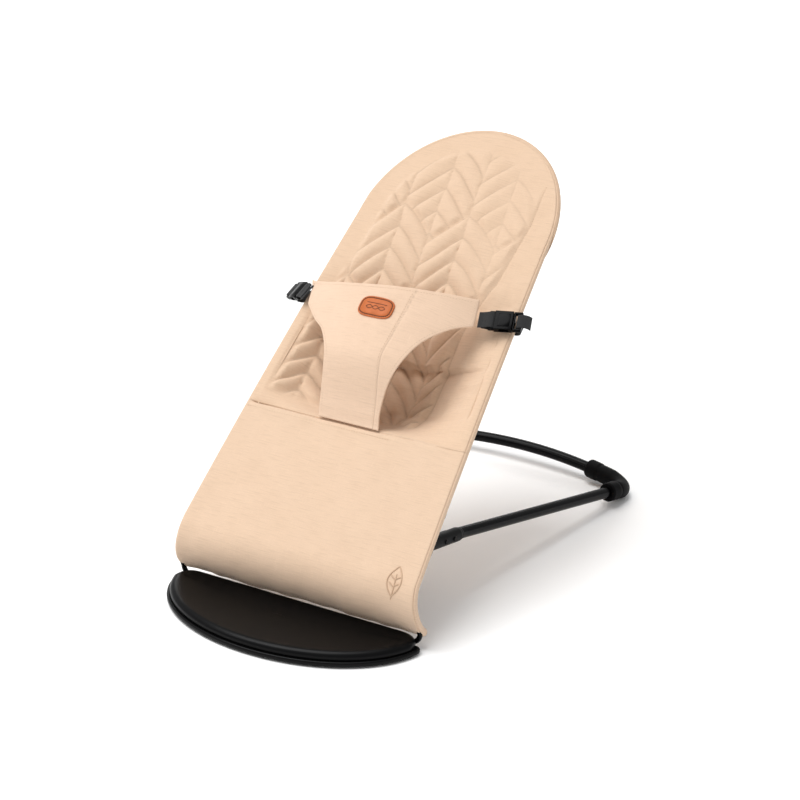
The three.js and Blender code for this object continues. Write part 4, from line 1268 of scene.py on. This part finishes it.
def buckle(name):
    at = buckle_frame(name)
    side = BUCKLES[name].side
    w, h, mouth = BUCKLE_WIDTH, BUCKLE_DEPTH, SOCKET_LENGTH
    socket = Build()
    for z in (-1, 1):
        socket.box((25.0, w - 0.4, 1.5), (29.5, 0, z * (h / 2 - 0.75)), 0.7, 3)
        socket.box((16.0, w - 9, 0.7), (30.5, 0, z * (h / 2 + 0.1)), 0.3, 2)
    socket.box((8.0, w, h - 0.4), (21.0, 0, 0), 1.6, 3)
    for edge in (-1, 1):
        socket.box((5.0, 3.0, h - 0.6), (39.4, edge * (w / 2 - 1.6), 0), 1.1, 3)
        socket.box((8.0, 2.6, 4.6), (13.4, edge * (w / 2 - 1.5), 0), 1.0, 3)
    socket.box((14.0, 1.8, h - 2.4), (31.0, 0, 0), 0.4, 1)
    socket.box((2.8, w - 0.6, 4.6), (11.0, 0, 0), 1.2, 3)
    socket.piece(f"socket_shell_{name}", "harness", GLOSS, "buckle_plastic", [f"buckle_socket_{name}"], at)
    plug = Build()
    base = mouth + 0.3
    for edge in (-1, 1):
        plug.box((12.0, 3.6, 6.4), (base + 6, edge * (w / 2 - 1.9), 0), 1.2, 3)
    plug.box((2.6, w - 1, 6.4), (base + 1.4, 0, 0), 1.0, 3)
    plug.box((2.6, w - 5, 4.0), (base + 6.1, 0, -0.8 * side), 1.0, 2)
    plug.box((2.6, w - 1, 6.0), (base + 10.8, 0, 0), 1.1, 3)
    plug.box((15.0, 5.0, 3.2), (base - 7, 0, 0), 0.8, 2)
    plug.piece(f"plug_ladder_{name}", f"plug_{name}", GLOSS, "buckle_plastic", [f"buckle_plug_{name}"], at)
    for label, edge in (("lower", -1), ("upper", 1)):
        inner = [(base + 0.8, 8.4), (base - 8, 8.5), (base - 16.6, 8.9), (base - 17.4, 9.6)]
        hook = [(base - 16.6, 10.7), (base - 12.5, 11.2), (base - 9.8, 11.0), (base - 9.4, 10.5)]
        outline = inner + hook + [(base - 4, 10.3), (base + 0.8, 10.4)]
        prong = Build().prism([(x, y * edge) for x, y in outline], -2.0, 2.0, 0.5, 2)
        prong.piece(f"prong_{label}_{name}", f"prong_{name}_{label}", GLOSS, "buckle_plastic",
                    [f"buckle_prong_{name}_{label}"], at)
    loop = [(-5, 0.3), (1, 0.8), (6, 2.2), (11, 3.6), (15.4, 3.2), (16.6, 0.4), (15.0, -3.0), (11, -3.6),
            (6, -2.2), (0, -0.9)]
    strap_piece(f"web_loop_{name}", "harness", loop, at, f"flap_webbing_{name}", 24.0)
    tail = [(base + x, z * side) for x, z in ((5, 2.2), (10, 3.6), (15, 3.2), (20, 1.0), (24, -3.0))]
    strap_piece(f"strap_end_{name}", f"plug_{name}", tail, at, f"strap_tail_{name}")


def strap_piece(name, body, profile, at, node, width=WEB_WIDTH):
    """Webbing that follows a profile in the buckle's own x and z."""
    line = smooth_line(profile, 40)
    us = edge_spacing(width, 14, WEB_EDGE)
    vs = np.linspace(0, length_of(line), 40)
    middle = np.array([[(x, u - width / 2, z) for u in us] for x, z in line])
    rotation, place = at
    middle = middle @ rotation.T + place
    web_strip(name, body, middle, us, vs, node)


def web_strip(name, body, middle, us, vs, node, consistent=False):
    points, faces = shell(middle, WEB_CLOTH, WEB_EDGE, us, vs)
    flat = np.vstack([flat_map(*np.meshgrid(us, vs))] * 2)
    add_piece(name, points, faces, body, WEBBING, [node], flat, CLOTH_FOLD, consistent=consistent)


def anchor_strap(name):
    side, strap_s = BUCKLES[name].side, BUCKLES[name].strap_s
    line = smooth_line(BUCKLES[name].route, 48)
    us = edge_spacing(WEB_WIDTH, 14, WEB_EDGE)
    vs = np.linspace(0, length_of(line), 48)
    middle = np.array([[seat(side * x, strap_s + u - WEB_WIDTH / 2, off) for u in us] for x, off in line])
    web_strip(f"rail_strap_{name}", "seat_frame", middle, us, vs, f"anchor_strap_{name}", consistent=True)


# ---- hardware that keeps its CAD shape ----
def dress(names, material, bevel):
    for name in names:
        node = frame["nodes"][name]
        node.data.materials.clear()
        node.data.materials.append(material)
        if bevel:
            modifier = node.modifiers.new("edge", "BEVEL")
            modifier.width = bevel * MM
            modifier.segments = 2
            modifier.limit_method = "ANGLE"
            modifier.angle_limit = math.radians(35)


leg_cover()
seat_cover()
back_panel()
emblem()
cover_stitching()
front_plate()
seat_rod()
base_tube()
rack()
prop()
harness_flap()
leather_tag()
for side_sign, side_name in ((-1, "left"), (1, "right")):
    rear_foot(side_sign, side_name)
    pivot_sleeve(side_sign, side_name)
    rail_clamps(side_sign, side_name)
    buckle(side_name)
    anchor_strap(side_name)
dress([f"rod_clamp_{n}" for n in ("left", "centre", "right")], MOULDED, 0.6)
dress([f"plate_screw_{n}" for n in range(1, 7)], ZINC, 0.25)
dress([f"rack_rivet_{n}" for n in range(1, 5)], MOULDED, 0.25)


# ---- floor, light and camera ----
def floor():
    mesh = bpy.data.meshes.new("floor")
    reach = 14.0
    corners = [(-reach, -reach, 0), (reach, -reach, 0), (reach, reach, 0), (-reach, reach, 0)]
    mesh.from_pydata(corners, [], [(0, 1, 2, 3)])
    obj = link("floor", mesh)
    f = Finish("studio_floor")
    tone = f.mix(f.noise(f.place(), 3.0), linear((255, 255, 255)), linear((253, 253, 253)))
    mesh.materials.append(f.set(Base_Color=tone, Roughness=0.6, Specular_IOR_Level=0.25))


def facing(direction):
    return Vector(direction).to_track_quat("-Z", "Y").to_euler()


def area_light(name, place, target, size, watts):
    data = bpy.data.lights.new(name, "AREA")
    data.shape = "RECTANGLE"
    data.size, data.size_y = size
    data.energy = watts
    obj = link(name, data)
    obj.location = place
    obj.rotation_euler = facing(Vector(target) - Vector(place))


def studio():
    scene = bpy.context.scene
    scene.world = bpy.data.worlds.new("studio")
    scene.world.use_nodes = True
    background = scene.world.node_tree.nodes["Background"]
    background.inputs["Color"].default_value = (1.0, 1.0, 1.0, 1)
    background.inputs["Strength"].default_value = 0.54
    data = bpy.data.lights.new("sun", "SUN")
    data.energy = 2.35
    data.angle = math.radians(44)
    link("sun", data).rotation_euler = facing((0.27, 0.14, -0.95))
    area_light("strip", (-1.15, -1.15, 1.75), (0, -0.2, 0.1), (0.3, 1.4), 8)
    area_light("back", (-1.5, 2.6, 1.5), (0.1, 0.2, 0.1), (2.4, 0.25), 16)
    scene.view_settings.view_transform = "Standard"


# The camera: lens and sensor in mm, shift in frame widths, then where it stands round its target.
LENS, SENSOR = 104.9085, 36.0
SHIFT_X, SHIFT_Y = -0.0243875, -0.0026
VIEW_TURN, VIEW_DROP, VIEW_REACH = math.radians(31.65), math.radians(22.76), 3230.44
VIEW_TARGET = (0.0, 300.0, 200.0)


def camera():
    forward = np.array([-math.sin(VIEW_TURN) * math.cos(VIEW_DROP), math.cos(VIEW_TURN) * math.cos(VIEW_DROP),
                        -math.sin(VIEW_DROP)])
    data = bpy.data.cameras.new("camera")
    data.lens, data.sensor_width = LENS, SENSOR
    data.shift_x, data.shift_y = SHIFT_X, SHIFT_Y
    data.clip_end = 100
    obj = link("camera", data)
    obj.location = world(np.array(VIEW_TARGET) - forward * VIEW_REACH)
    obj.rotation_euler = facing(forward)
    bpy.context.scene.camera = obj


floor()
studio()
camera()
